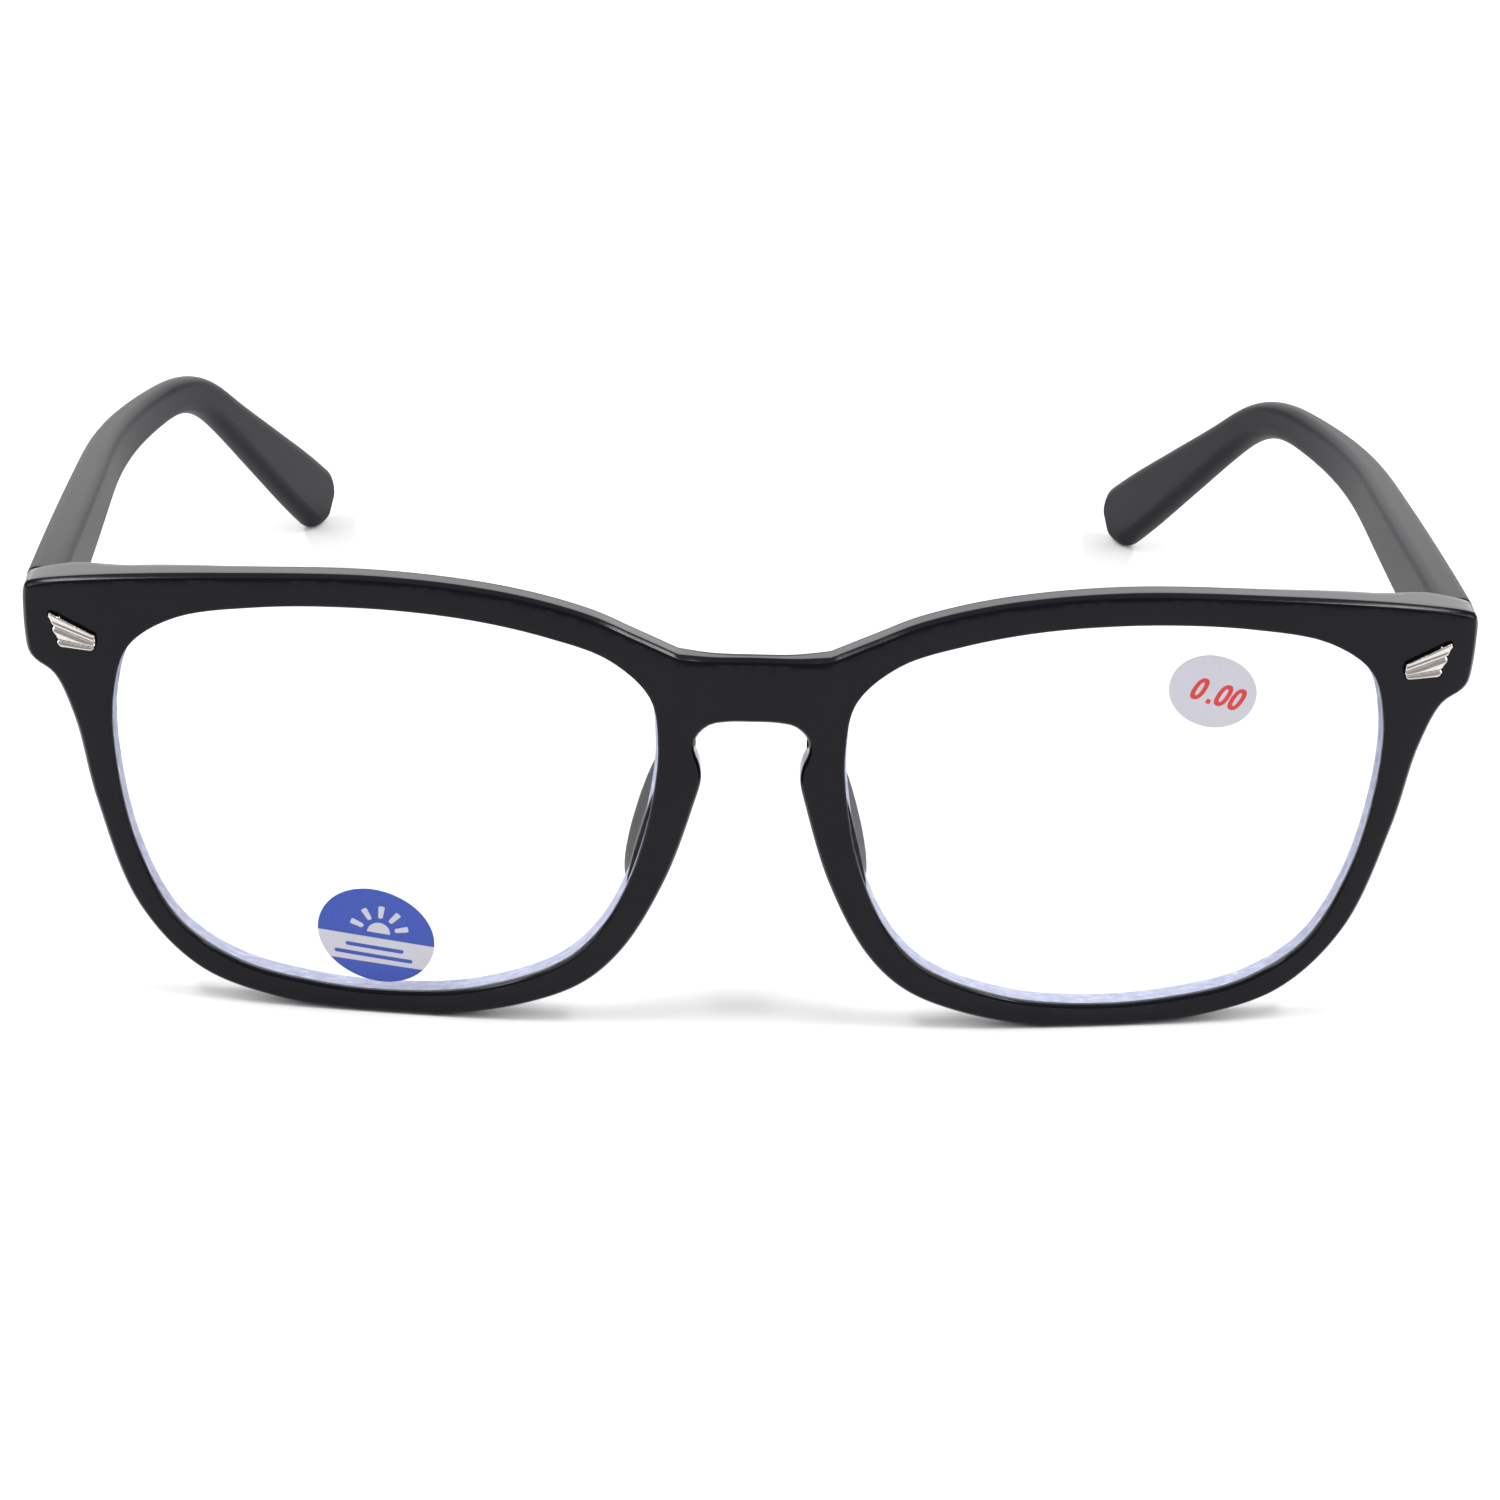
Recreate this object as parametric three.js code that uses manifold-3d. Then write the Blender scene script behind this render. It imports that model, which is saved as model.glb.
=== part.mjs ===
// Blue light glasses: a moulded front with two lenses, and two temples that fold on metal hinges.
// Millimetres, +Z up. The front faces -Y, the temples run back along +Y, and +X is the wearer's left.
// Shapes are drawn for the wearer's left half, then mirrored in X for the right half.

import * as THREE from 'three';
import { mergeVertices } from 'three/addons/utils/BufferGeometryUtils.js';
import Module from 'manifold-3d';

const wasm = await Module();
wasm.setup();

// ---------------------------------------------------------------- driving dimensions

const WRAP_RADIUS = 330; // the front bends back at both ends on this radius
const RIM_DEPTH = 3.4;
const GAP = 0.3; // room between a lens and the groove that holds it

const LENS = { x: 35.7, z: 22.8, halfWidth: 27, halfHeight: 21, bulge: 0.8 };
const LENS_EDGE = { inset: 0.9, thickness: 1.6, bite: 0.6 }; // how the lens sits in its groove

const SEAM_Y = 11.4; // back face of the endpiece, which the open temple stops against
const SEAM_GAP = 0.3;
const ENDPIECE = { inner: 67.0, outer: 70.9, bossInner: 61.7, bossBack: 8.9, bottom: 35.3 };

const PIVOT = { x: 65.6, y: 12.0, z: 38.3 }; // hinge axis, along Z
const KNUCKLE = { radius: 1.25, outerHeight: 1.6, middleHeight: 1.6, washer: 0.4, air: 0.1 };
const SCREW = { shank: 0.6, hole: 0.68, head: 1.05, headHeight: 0.6, slotWidth: 0.3, slotDepth: 0.25 };
const LEAF = { thickness: 0.8, seat: 0.2, frontHeight: 6.0, templeHeight: 3.8, start: 13.8, end: 20.0 };
const STUD = { radius: 0.6, hole: 0.7, length: 1.1, holeDepth: 1.4 };

const TEMPLE = { x: 69.0, startZ: 39.3, slope: 5.5, bendStart: 78.2, bendEnd: 99.8, hookPitch: 37.0 };
const TEMPLE_ROUND = { tip: 3.9, edge: 1.1 };
const SWEEP = { start: 55.5, end: 105.5, slope: 0.33 }; // the temple's inward curve behind the ear
const TEMPLE_STEPS = 32; // sections along the temple, then round its tip
const TIP_STEPS = 4;
const ROUND_SIDES = 16;

const PAD = { x: 8.6, y: 5.7, z: 21, thickness: 1.3, depth: 4.3, height: 9, flare: 20, lean: 17 };
const TRIM = { x: 66.0, z: 38.5, proud: 0.6, sunk: 0.5, pocket: 0.15 };
const STICKER = { thickness: 0.12, air: 0.05 };

// ---------------------------------------------------------------- outlines, as [x, z] points

const BROW = [
  [0, 39.1], [4, 39.2], [8, 40.1], [16, 43.5], [24, 45.4], [36, 46.4], [52, 45.5], [64, 44.2], [70, 43.0],
];
const ENDPIECE_SIDE = [[70.7, 42.4], [70.8, 40], [70.4, 35.6], [69.8, 35.0]];
const LOWER_OUTER = [
  [69.8, 35.0], [68, 33.6], [66, 29], [64, 20.5], [60, 9.6], [54, 3.3], [46, 0.65], [38, 0],
];
const LOWER_INNER = [
  [30, 0], [22, 1.6], [16, 4.2], [12, 8.2], [8, 15.9], [5.5, 23.8], [4.8, 27], [5.5, 29.6], [5.1, 31.4],
  [3.9, 32.3],
];
const BRIDGE_UNDERSIDE = [[0, 32.5]];
const OPENING = [
  [9.1, 30], [10, 35.2], [14, 39], [20, 41.1], [28, 42.6], [38, 43.1], [48, 42.4],
  [56, 40.6], [60.5, 37.3], [62, 32.5], [62, 26], [60, 16.2], [56, 8.5], [50, 4.5],
  [42, 2.8], [34, 2.45], [26, 3.4], [18, 6.6], [14, 10.8], [11, 17.5], [9.5, 24.5],
];
// Three swept feathers, about the trim's centre, with the long tip outwards.
const WING = [
  [2.18, 1.83], [-2.26, -0.19], [-2.35, -0.79], [-2.32, -1.37], [-1.99, -1.8], [1.15, -1.68], [1.49, -1.23],
  [1.38, -0.87], [1.51, -0.6], [1.91, -0.02], [1.8, 0.36], [1.91, 0.65], [2.34, 1.37],
];
const WING_GROOVES = [[[1.38, 0.26], [-2.03, -0.89]], [[0.93, -0.99], [-1.99, -1.37]]];
const GROOVE = { width: 0.22, depth: 0.3 };

const radians = THREE.MathUtils.degToRad;

// ---------------------------------------------------------------- solids

function toSolid(geometry) {
  const bare = geometry.clone();
  bare.deleteAttribute('normal');
  bare.deleteAttribute('uv');
  const merged = mergeVertices(bare, 1e-4);
  const vertProperties = new Float32Array(merged.attributes.position.array);
  const triVerts = new Uint32Array(merged.index.array);
  return new wasm.Manifold(new wasm.Mesh({ numProp: 3, vertProperties, triVerts }));
}

function toGeometry(solid) {
  const mesh = solid.getMesh();
  const geometry = new THREE.BufferGeometry();
  geometry.setAttribute('position', new THREE.BufferAttribute(mesh.vertProperties, 3));
  geometry.setIndex(new THREE.BufferAttribute(mesh.triVerts, 1));
  geometry.computeVertexNormals();
  return geometry;
}

function mapVertices(geometry, move) {
  const position = geometry.attributes.position;
  const point = new THREE.Vector3();
  for (let i = 0; i < position.count; i += 1) {
    point.fromBufferAttribute(position, i);
    move(point);
    position.setXYZ(i, point.x, point.y, point.z);
  }
  return geometry;
}

function box(low, high) {
  const size = high.map((value, i) => value - low[i]);
  const centre = high.map((value, i) => (value + low[i]) / 2);
  return toSolid(new THREE.BoxGeometry(...size).translate(...centre));
}

// A cylinder between two heights, standing on the point (x, y).
function post(x, y, radius, low, high) {
  const geometry = new THREE.CylinderGeometry(radius, radius, high - low, ROUND_SIDES).rotateX(Math.PI / 2);
  return toSolid(geometry.translate(x, y, (low + high) / 2));
}

// ---------------------------------------------------------------- curves and bent slabs

const mirrored = (points) => points.map(([x, z]) => [-x, z]).reverse();
const toVectors = (points) => points.map(([x, z]) => new THREE.Vector2(x, z));

function smooth(points, count) {
  return new THREE.SplineCurve(toVectors(points)).getPoints(count).slice(0, -1);
}

function smoothLoop(points, count) {
  const knots = points.map(([x, z]) => new THREE.Vector3(x, z, 0));
  const loop = new THREE.CatmullRomCurve3(knots, true).getPoints(count).slice(0, -1);
  return loop.map((point) => new THREE.Vector2(point.x, point.y));
}

// Moves each point of a closed loop outwards by a distance.
function offsetLoop(loop, distance) {
  const turn = Math.sign(THREE.ShapeUtils.area(loop));
  return loop.map((point, i) => {
    const before = loop.at(i - 1);
    const after = loop[(i + 1) % loop.length];
    const along = after.clone().sub(before).normalize();
    return new THREE.Vector2(point.x + turn * distance * along.y, point.y - turn * distance * along.x);
  });
}

// A straight prism along Y with the outline in X and Z.
function prism(loop, front, back, holes = []) {
  const shape = new THREE.Shape(loop);
  shape.holes = holes.map((hole) => new THREE.Path(hole));
  const geometry = new THREE.ExtrudeGeometry(shape, { depth: back - front, bevelEnabled: false });
  return toSolid(geometry.rotateX(Math.PI / 2).translate(0, back, 0));
}

// A slab between two surfaces y = front(x, z) and y = back(x, z).
function slab(low, high, columns, rows, front, back) {
  const [width, height] = [high[0] - low[0], high[1] - low[1]];
  const geometry = new THREE.BoxGeometry(width, 1, height, columns, 1, rows);
  geometry.translate((low[0] + high[0]) / 2, 0, (low[1] + high[1]) / 2);
  return toSolid(mapVertices(geometry, (p) => {
    p.y = p.y < 0 ? front(p.x, p.z) : back(p.x, p.z);
  }));
}

const wrap = (x) => (x * x) / (2 * WRAP_RADIUS);

function lensFront(x, z) {
  const across = (Math.abs(x) - LENS.x) / LENS.halfWidth;
  const up = (z - LENS.z) / LENS.halfHeight;
  return wrap(x) + LENS_EDGE.inset - LENS.bulge * (1 - across * across - up * up);
}

function lensSlab(frontOffset, backOffset) {
  const front = (x, z) => lensFront(x, z) + frontOffset;
  const back = (x, z) => lensFront(x, z) + LENS_EDGE.thickness + backOffset;
  return slab([5, -2], [66, 48], 12, 8, front, back);
}

// A slab that follows the front's bend between two depths behind its face.
const wrapSlab = (frontOffset, backOffset) =>
  slab([-76, -5], [76, 52], 32, 1, (x) => wrap(x) + frontOffset, (x) => wrap(x) + backOffset);

const openingLoop = smoothLoop(OPENING, 52);
const wingLoop = toVectors(WING.map(([u, v]) => [TRIM.x + u, TRIM.z + v]));

// ---------------------------------------------------------------- front

// Anticlockwise, which the extrusion needs to turn the openings the right way round.
function outerLoop() {
  const clockwise = [
    ...smooth([...mirrored(BROW), ...BROW.slice(1)], 44),
    ...toVectors([[70, 43.0], ...ENDPIECE_SIDE.slice(0, -1)]),
    ...smooth(LOWER_OUTER, 20),
    new THREE.Vector2(38, 0),
    ...smooth([...LOWER_INNER, ...BRIDGE_UNDERSIDE, ...mirrored(LOWER_INNER)], 60),
    new THREE.Vector2(-30, 0),
    ...smooth(mirrored(LOWER_OUTER), 20),
    ...toVectors(mirrored(ENDPIECE_SIDE)),
  ];
  return clockwise.reverse();
}

function nosePad() {
  const geometry = new THREE.SphereGeometry(1, 16, 10).scale(PAD.thickness, PAD.depth, PAD.height);
  geometry.rotateZ(-radians(PAD.flare));
  geometry.rotateY(-radians(PAD.lean));
  return toSolid(geometry.translate(PAD.x, PAD.y, PAD.z));
}

const studHeights = (height) => [PIVOT.z - height / 4, PIVOT.z + height / 4];

function frontStuds(radius, length) {
  const x = ENDPIECE.bossInner + 1.6;
  const back = ENDPIECE.bossBack + LEAF.seat;
  return studHeights(LEAF.frontHeight).map((z) => {
    const geometry = new THREE.CylinderGeometry(radius, radius, length, ROUND_SIDES);
    return toSolid(geometry.translate(x, back - length / 2, z));
  });
}

// The left endpiece: a boss that carries the hinge plate and a lug that the temple closes against.
function endpiece(outline) {
  const plan = toVectors([
    [ENDPIECE.bossInner, 7.4], [ENDPIECE.outer, 8.6], [ENDPIECE.outer, SEAM_Y], [ENDPIECE.inner, SEAM_Y],
    [ENDPIECE.inner, ENDPIECE.bossBack], [ENDPIECE.bossInner, ENDPIECE.bossBack],
  ]);
  const geometry = new THREE.ExtrudeGeometry(new THREE.Shape(plan), { depth: 12, bevelEnabled: false });
  return toSolid(geometry.translate(0, 0, ENDPIECE.bottom)).intersect(outline);
}

// Room in the back of the endpiece for the hinge plate.
function leafPocket() {
  const half = LEAF.frontHeight / 2 + LEAF.seat;
  const low = [ENDPIECE.bossInner - LEAF.seat, ENDPIECE.bossBack, PIVOT.z - half];
  return box(low, [ENDPIECE.inner, SEAM_Y + 1, PIVOT.z + half]);
}

function frontFrame() {
  const outer = outerLoop();
  const openings = [openingLoop, openingLoop.map((p) => new THREE.Vector2(-p.x, p.y))];
  let solid = prism(outer, -4, 18, openings).intersect(wrapSlab(0, RIM_DEPTH));
  const block = endpiece(prism(outer, -4, 18));
  const groove = prism(offsetLoop(openingLoop, LENS_EDGE.bite + GAP), -4, 18).intersect(lensSlab(-0.2, 0.2));
  const pocket = prism(offsetLoop(wingLoop, TRIM.pocket), -4, 18).intersect(wrapSlab(-1, TRIM.sunk + 0.05));
  const studs = frontStuds(STUD.hole, STUD.holeDepth);
  const cuts = wasm.Manifold.union([groove, pocket, leafPocket(), ...studs]);
  const adds = block.add(nosePad());
  solid = solid.add(adds).add(adds.mirror([1, 0, 0]));
  return solid.subtract(cuts).subtract(cuts.mirror([1, 0, 0]));
}

// ---------------------------------------------------------------- lens, trim and stickers

const lens = () => prism(offsetLoop(openingLoop, LENS_EDGE.bite), -4, 18).intersect(lensSlab(0, 0));

function wingTrim() {
  const body = prism(wingLoop, -4, 18).intersect(wrapSlab(-TRIM.proud, TRIM.sunk));
  const cuts = WING_GROOVES.map(([from, to]) => {
    const [run, rise] = [to[0] - from[0], to[1] - from[1]];
    const geometry = new THREE.BoxGeometry(Math.hypot(run, rise), 20, GROOVE.width);
    geometry.rotateY(-Math.atan2(rise, run));
    return toSolid(geometry.translate(TRIM.x + (from[0] + to[0]) / 2, 0, TRIM.z + (from[1] + to[1]) / 2));
  });
  const skin = wrapSlab(-TRIM.proud - 1, -TRIM.proud + GROOVE.depth);
  return body.subtract(wasm.Manifold.union(cuts).intersect(skin));
}

// An oval label lying on the front of a lens.
function sticker(x, z, halfLength, halfWidth, tilt) {
  const oval = new THREE.EllipseCurve(x, z, halfLength, halfWidth, 0, 2 * Math.PI, false, radians(tilt));
  const front = (px, pz) => lensFront(px, pz) - STICKER.air - STICKER.thickness;
  const back = (px, pz) => lensFront(px, pz) - STICKER.air;
  const skin = slab([x - 8, z - 8], [x + 8, z + 8], 6, 6, front, back);
  return prism(oval.getPoints(32).slice(0, -1), -4, 18).intersect(skin);
}

// ---------------------------------------------------------------- temple

// How steeply the temple runs down at a distance along it: gently, then through a bend into the hook.
function templePitch(s) {
  const bent = THREE.MathUtils.smoothstep(s, TEMPLE.bendStart, TEMPLE.bendEnd);
  return radians(THREE.MathUtils.lerp(TEMPLE.slope, TEMPLE.hookPitch, bent));
}

// Centre line of the temple in the side view.
function templeCentre(s) {
  const steps = Math.max(1, Math.ceil(Math.abs(s)));
  const step = s / steps;
  let y = SEAM_Y + SEAM_GAP;
  let z = TEMPLE.startZ;
  for (let i = 0; i < steps; i += 1) {
    const pitch = templePitch((i + 0.5) * step);
    y += step * Math.cos(pitch);
    z -= step * Math.sin(pitch);
  }
  return { y, z, pitch: templePitch(s) };
}

// Height of the temple along its length: deep at the hinge, slim at the bend, wide near the tip.
const heightKeys = [0, 45, 72, 86, 100, 114, 128, 145];
const heightValues = [7.4, 6.1, 4.8, 4.3, 4.5, 5.9, 7.3, 7.5];
const heightCurve = new THREE.CubicInterpolant(heightKeys, heightValues, 1, new Float32Array(1));
const templeHeight = (s) => heightCurve.evaluate(s)[0];

// Distance along the temple to the middle of its round tip, so that the tip just touches the floor.
function tipDistance() {
  const pitch = radians(TEMPLE.hookPitch);
  const drop = templeCentre(TEMPLE.bendEnd).z;
  let last = TEMPLE.bendEnd;
  for (let i = 0; i < 4; i += 1) {
    const reach = Math.hypot(TEMPLE_ROUND.tip * Math.sin(pitch), (templeHeight(last) / 2) * Math.cos(pitch));
    last = TEMPLE.bendEnd + (drop - reach) / Math.sin(pitch);
  }
  return last;
}

// Stations along the temple: even steps along its length, then closer ones round the tip.
function templeStation(i) {
  const last = tipDistance();
  if (i <= TEMPLE_STEPS) {
    const s = -2 + ((last + 2) * i) / TEMPLE_STEPS;
    return { s, half: templeHeight(Math.max(0, s)) / 2 };
  }
  const turn = (radians(78) * (i - TEMPLE_STEPS)) / TIP_STEPS;
  return { s: last + TEMPLE_ROUND.tip * Math.sin(turn), half: (templeHeight(last) / 2) * Math.cos(turn) };
}

// A square with round corners, whose outline is everywhere 1 to 2 from the middle both ways.
function roundSquare() {
  const shape = new THREE.Shape();
  [[1, 1], [-1, 1], [-1, -1], [1, -1]].forEach(([x, y], corner) => {
    shape.absarc(x, y, 1, (corner * Math.PI) / 2, ((corner + 1) * Math.PI) / 2, false);
  });
  return shape;
}

// Stretches one coordinate of the round square to a half size, keeping the corners round.
function stretch(value, half, radius) {
  const side = Math.sign(value);
  return side * (half - radius) + radius * (value - side);
}

// How far the temple has swept inwards at a distance y back.
function inwardSweep(y) {
  const length = SWEEP.end - SWEEP.start;
  const t = THREE.MathUtils.clamp((y - SWEEP.start) / length, 0, 1);
  const straight = Math.max(0, y - SWEEP.end);
  return SWEEP.slope * (length * (t ** 3 - t ** 4 / 2) + straight);
}

const templeThickness = (y) => 3.8 - THREE.MathUtils.smoothstep(y, 30, 105);

function templeStuds(radius, length) {
  const start = TEMPLE.x - templeThickness(0) / 2 - LEAF.seat;
  const quarter = (LEAF.end - LEAF.start) / 4;
  return [LEAF.start + quarter, LEAF.end - quarter].map((y) => {
    const geometry = new THREE.CylinderGeometry(radius, radius, length, ROUND_SIDES).rotateZ(Math.PI / 2);
    return toSolid(geometry.translate(start + length / 2, y, PIVOT.z));
  });
}

function temple() {
  const steps = TEMPLE_STEPS + TIP_STEPS;
  const settings = { depth: steps, steps, bevelEnabled: false, curveSegments: 1 };
  const geometry = new THREE.ExtrudeGeometry(roundSquare(), settings);
  mapVertices(geometry, (p) => {
    const { s, half } = templeStation(Math.round(p.z));
    const { y, z, pitch } = templeCentre(s);
    const radius = Math.min(TEMPLE_ROUND.edge, half * 0.9);
    const up = stretch(p.y, half, radius);
    const back = y + up * Math.sin(pitch);
    const aside = stretch(p.x, templeThickness(back) / 2, TEMPLE_ROUND.edge);
    p.set(TEMPLE.x - inwardSweep(back) - aside, back, z + up * Math.cos(pitch));
  });
  const solid = toSolid(geometry).trimByPlane([0, 1, 0], SEAM_Y + SEAM_GAP);
  return solid.subtract(wasm.Manifold.union(templeStuds(STUD.hole, STUD.holeDepth)));
}

// ---------------------------------------------------------------- hinge

const middle = KNUCKLE.middleHeight / 2;
const washerLow = middle + KNUCKLE.air;
const washerHigh = washerLow + KNUCKLE.washer;
const outerLow = washerHigh + KNUCKLE.air;
const outerHigh = outerLow + KNUCKLE.outerHeight;
const levels = [[-outerHigh, -outerLow], [outerLow, outerHigh]];

const pivotPost = (radius, low, high) => post(PIVOT.x, PIVOT.y, radius, PIVOT.z + low, PIVOT.z + high);
const screwHole = () => pivotPost(SCREW.hole, -9, 9);

// The plate on the back of the endpiece, with the hinge's two outer knuckles.
function frontLeaf() {
  const front = ENDPIECE.bossBack + LEAF.seat;
  const half = LEAF.frontHeight / 2;
  const plate = box(
    [ENDPIECE.bossInner + 0.1, front, PIVOT.z - half],
    [ENDPIECE.inner - LEAF.seat, front + LEAF.thickness, PIVOT.z + half],
  );
  const knuckles = levels.flatMap(([low, high]) => [
    pivotPost(KNUCKLE.radius, low, high),
    box([PIVOT.x - 1.2, front + 0.4, PIVOT.z + low], [PIVOT.x + 1.0, PIVOT.y, PIVOT.z + high]),
  ]);
  const solid = wasm.Manifold.union([plate, ...knuckles, ...frontStuds(STUD.radius, STUD.length)]);
  return solid.subtract(screwHole());
}

// The plate on the inner side of the temple, with the hinge's middle knuckle.
function templeLeaf() {
  const face = TEMPLE.x - templeThickness(0) / 2 - LEAF.seat;
  const half = LEAF.templeHeight / 2;
  const plate = box(
    [face - LEAF.thickness, LEAF.start, PIVOT.z - half],
    [face, LEAF.end, PIVOT.z + half],
  );
  const tongue = box([PIVOT.x - 0.1, PIVOT.y, PIVOT.z - middle], [face, LEAF.start + 0.5, PIVOT.z + middle]);
  const knuckle = pivotPost(KNUCKLE.radius, -middle, middle);
  const solid = wasm.Manifold.union([plate, tongue, knuckle, ...templeStuds(STUD.radius, STUD.length)]);
  return solid.subtract(screwHole());
}

function hingeScrew() {
  const seat = outerHigh + 0.05;
  const top = seat + SCREW.headHeight;
  const slot = box(
    [PIVOT.x - 2, PIVOT.y - SCREW.slotWidth / 2, PIVOT.z + top - SCREW.slotDepth],
    [PIVOT.x + 2, PIVOT.y + SCREW.slotWidth / 2, PIVOT.z + top + 1],
  );
  return pivotPost(SCREW.shank, -outerHigh, seat + 0.1).add(pivotPost(SCREW.head, seat, top)).subtract(slot);
}

function hingeWasher(low, high) {
  return pivotPost(KNUCKLE.radius, low, high).subtract(screwHole());
}

// ---------------------------------------------------------------- assembly

function material(color, roughness, metalness = 0) {
  return new THREE.MeshStandardMaterial({ color, roughness, metalness });
}

const group = new THREE.Group();

function addPiece(name, solid, finish) {
  const mesh = new THREE.Mesh(toGeometry(solid), finish);
  mesh.name = name;
  group.add(mesh);
}

function addPair(name, solid, finish) {
  addPiece(`${name}_left`, solid, finish());
  addPiece(`${name}_right`, solid.mirror([1, 0, 0]), finish());
}

const blackPlastic = () => material(0x2a2a2e, 0.42);
const hingeSteel = () => material(0xb4b4b8, 0.35, 1);
const nylon = () => material(0xe4e2da, 0.5);

addPiece('front_frame', frontFrame(), blackPlastic());
addPair('lens', lens(), () => material(0xeef2fa, 0.05));
addPair('wing_trim', wingTrim(), () => material(0xcfc8c2, 0.28, 1));
addPair('temple', temple(), blackPlastic);
addPair('hinge_front_leaf', frontLeaf(), hingeSteel);
addPair('hinge_temple_leaf', templeLeaf(), hingeSteel);
addPair('hinge_screw', hingeScrew(), hingeSteel);
addPair('hinge_washer_lower', hingeWasher(-washerHigh, -washerLow), nylon);
addPair('hinge_washer_upper', hingeWasher(washerLow, washerHigh), nylon);
addPiece('power_sticker', sticker(44.7, 36.0, 4.53, 3.64, -22.3), material(0xdad8e0, 0.55));
addPiece('blue_light_sticker', sticker(-36.35, 8.4, 5.95, 4.97, -24.4), material(0x3450b0, 0.5));

// The origin is under the middle of the whole object.
const bounds = new THREE.Box3().setFromObject(group);
group.position.y = -(bounds.min.y + bounds.max.y) / 2;

export default group;
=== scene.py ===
"""Blue light glasses: fine surfaces, materials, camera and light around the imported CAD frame.

Shapes are drawn in millimetres for the wearer's left half (+X), with y measured back from the
front of the bridge, then mirrored for the right half and placed in the row frame in metres.
"""

import math
from collections import namedtuple

import bmesh
import bpy
import numpy as np
from mathutils import Matrix, Vector
from mathutils.geometry import delaunay_2d_cdt


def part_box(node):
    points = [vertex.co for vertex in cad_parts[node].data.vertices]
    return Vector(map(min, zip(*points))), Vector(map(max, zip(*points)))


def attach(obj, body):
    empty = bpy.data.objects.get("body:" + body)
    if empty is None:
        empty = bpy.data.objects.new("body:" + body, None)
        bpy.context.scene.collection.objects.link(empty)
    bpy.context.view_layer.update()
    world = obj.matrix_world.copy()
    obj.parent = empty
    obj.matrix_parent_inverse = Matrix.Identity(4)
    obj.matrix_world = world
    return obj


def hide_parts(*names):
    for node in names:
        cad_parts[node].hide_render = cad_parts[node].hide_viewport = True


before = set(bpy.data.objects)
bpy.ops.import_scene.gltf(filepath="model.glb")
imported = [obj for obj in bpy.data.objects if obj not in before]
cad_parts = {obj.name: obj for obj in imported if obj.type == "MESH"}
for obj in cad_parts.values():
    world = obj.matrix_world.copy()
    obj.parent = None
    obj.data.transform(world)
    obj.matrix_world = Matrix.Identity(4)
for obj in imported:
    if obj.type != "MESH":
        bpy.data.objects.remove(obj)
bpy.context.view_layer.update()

MM = 0.001
SAME_POINT = 2e-7  # metres
BRIDGE_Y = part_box("front_frame")[0].y

Shape = namedtuple("Shape", "points faces finishes")  # a finish is the number of a face's material


def box_mm(node):
    """Lowest and highest corner of a CAD node in the drawing's millimetres."""
    low, high = (np.array(corner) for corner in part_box(node))
    shift = np.array([0, BRIDGE_Y, 0])
    return (low - shift) / MM, (high - shift) / MM


# ---------------------------------------------------------------- driving dimensions, mm

WRAP_RADIUS = 330
RIM_DEPTH = 3.4
OUTLINE_STEP = 0.6
GRID_STEP = 0.9
FINE_STEP = 0.28
ROW_STEP = 0.87  # rows of a staggered grid, as a share of its step
SHARP_ANGLE = 38

FRONT_ROUND = 0.4
FRONT_FLAT = {"length": 0.26, "angle": 54}  # a narrow flat within the round
BACK_ROUND = 0.45
BROW_BACK_ROUND = 1.1
OPENING_ROUND = 0.4
BOWL = {"depth": 1.1, "up": (29, 34), "edge": 1.5, "levels": (32, 40), "half_widths": (5.6, 7.2)}
PILLOW = {"width": 1.8, "depth": 0.22}  # how the front face eases back towards its outer edge
BROW = {"end": (46, 60), "up": (36, 38)}  # where the round of the brow's back edge fades out
ENDPIECE = {"growth": 1.3, "across": (44, 67), "up": (30, 36), "off_rim": (0.8, 3.2)}
THIN_TOP = {"across": (60, 66.5), "up": (40.6, 42.6)}  # the endpiece's growth stays clear of the brow's top

temple_low, temple_high = box_mm("temple_left")
SEAM_GAP = 0.3
SEAM_Y = temple_low[1] - SEAM_GAP

leaf_low, leaf_high = box_mm("hinge_front_leaf_left")
screw_low, screw_high = box_mm("hinge_screw_left")
PIVOT = (screw_low + screw_high) / 2
PIVOT[2] = (leaf_low[2] + leaf_high[2]) / 2

LENS_SHAPE = {"x": 35.7, "z": 22.8, "half_width": 27, "half_height": 21, "bulge": 0.8}
LENS_INSET = 0.9
LENS_THICKNESS = 1.6
LENS_BITE = 0.6
LENS_APEX = 0.25
LENS_SLOPE = {"everywhere": 0.15, "low": 0.20, "outer": 0.16}  # how far in the ground edge's back reaches

# Groove of the lens: depth into the rim, and distance behind the lens's front.
GROOVE = [(0, -0.12), (0.75, -0.02), (0.75, LENS_THICKNESS - 0.2), (0, LENS_THICKNESS + 0.1)]

# Outlines as [x, z] points.
BRIDGE_TOP = [[-7.35, 39.75], [-4, 39.25], [0, 39.15], [4, 39.25], [7.35, 39.75]]
HALF_OUTLINE = [
    [7.35, 39.75], [11.5, 41.6], [16, 43.5], [24, 45.4], [36, 46.35], [52, 45.5], [64, 44.2], [69.6, 43.2],
    [70.5, 42.85], [70.82, 42.1], [70.88, 40], [70.75, 37.4], [70.45, 35.6], [69.8, 34.75], [68, 33.5],
    [66, 29], [64, 20.5], [60, 9.6], [54, 3.3], [46, 0.65], [38, 0], [34, 0], [30, 0], [22, 1.6], [16, 4.2],
    [12, 8.2], [8, 15.9], [5.5, 23.8], [4.8, 26.8], [5.0, 28.3], [5.55, 29.8], [5.35, 31.2], [4.2, 32.25],
    [2.5, 32.5], [0, 32.5],
]
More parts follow.
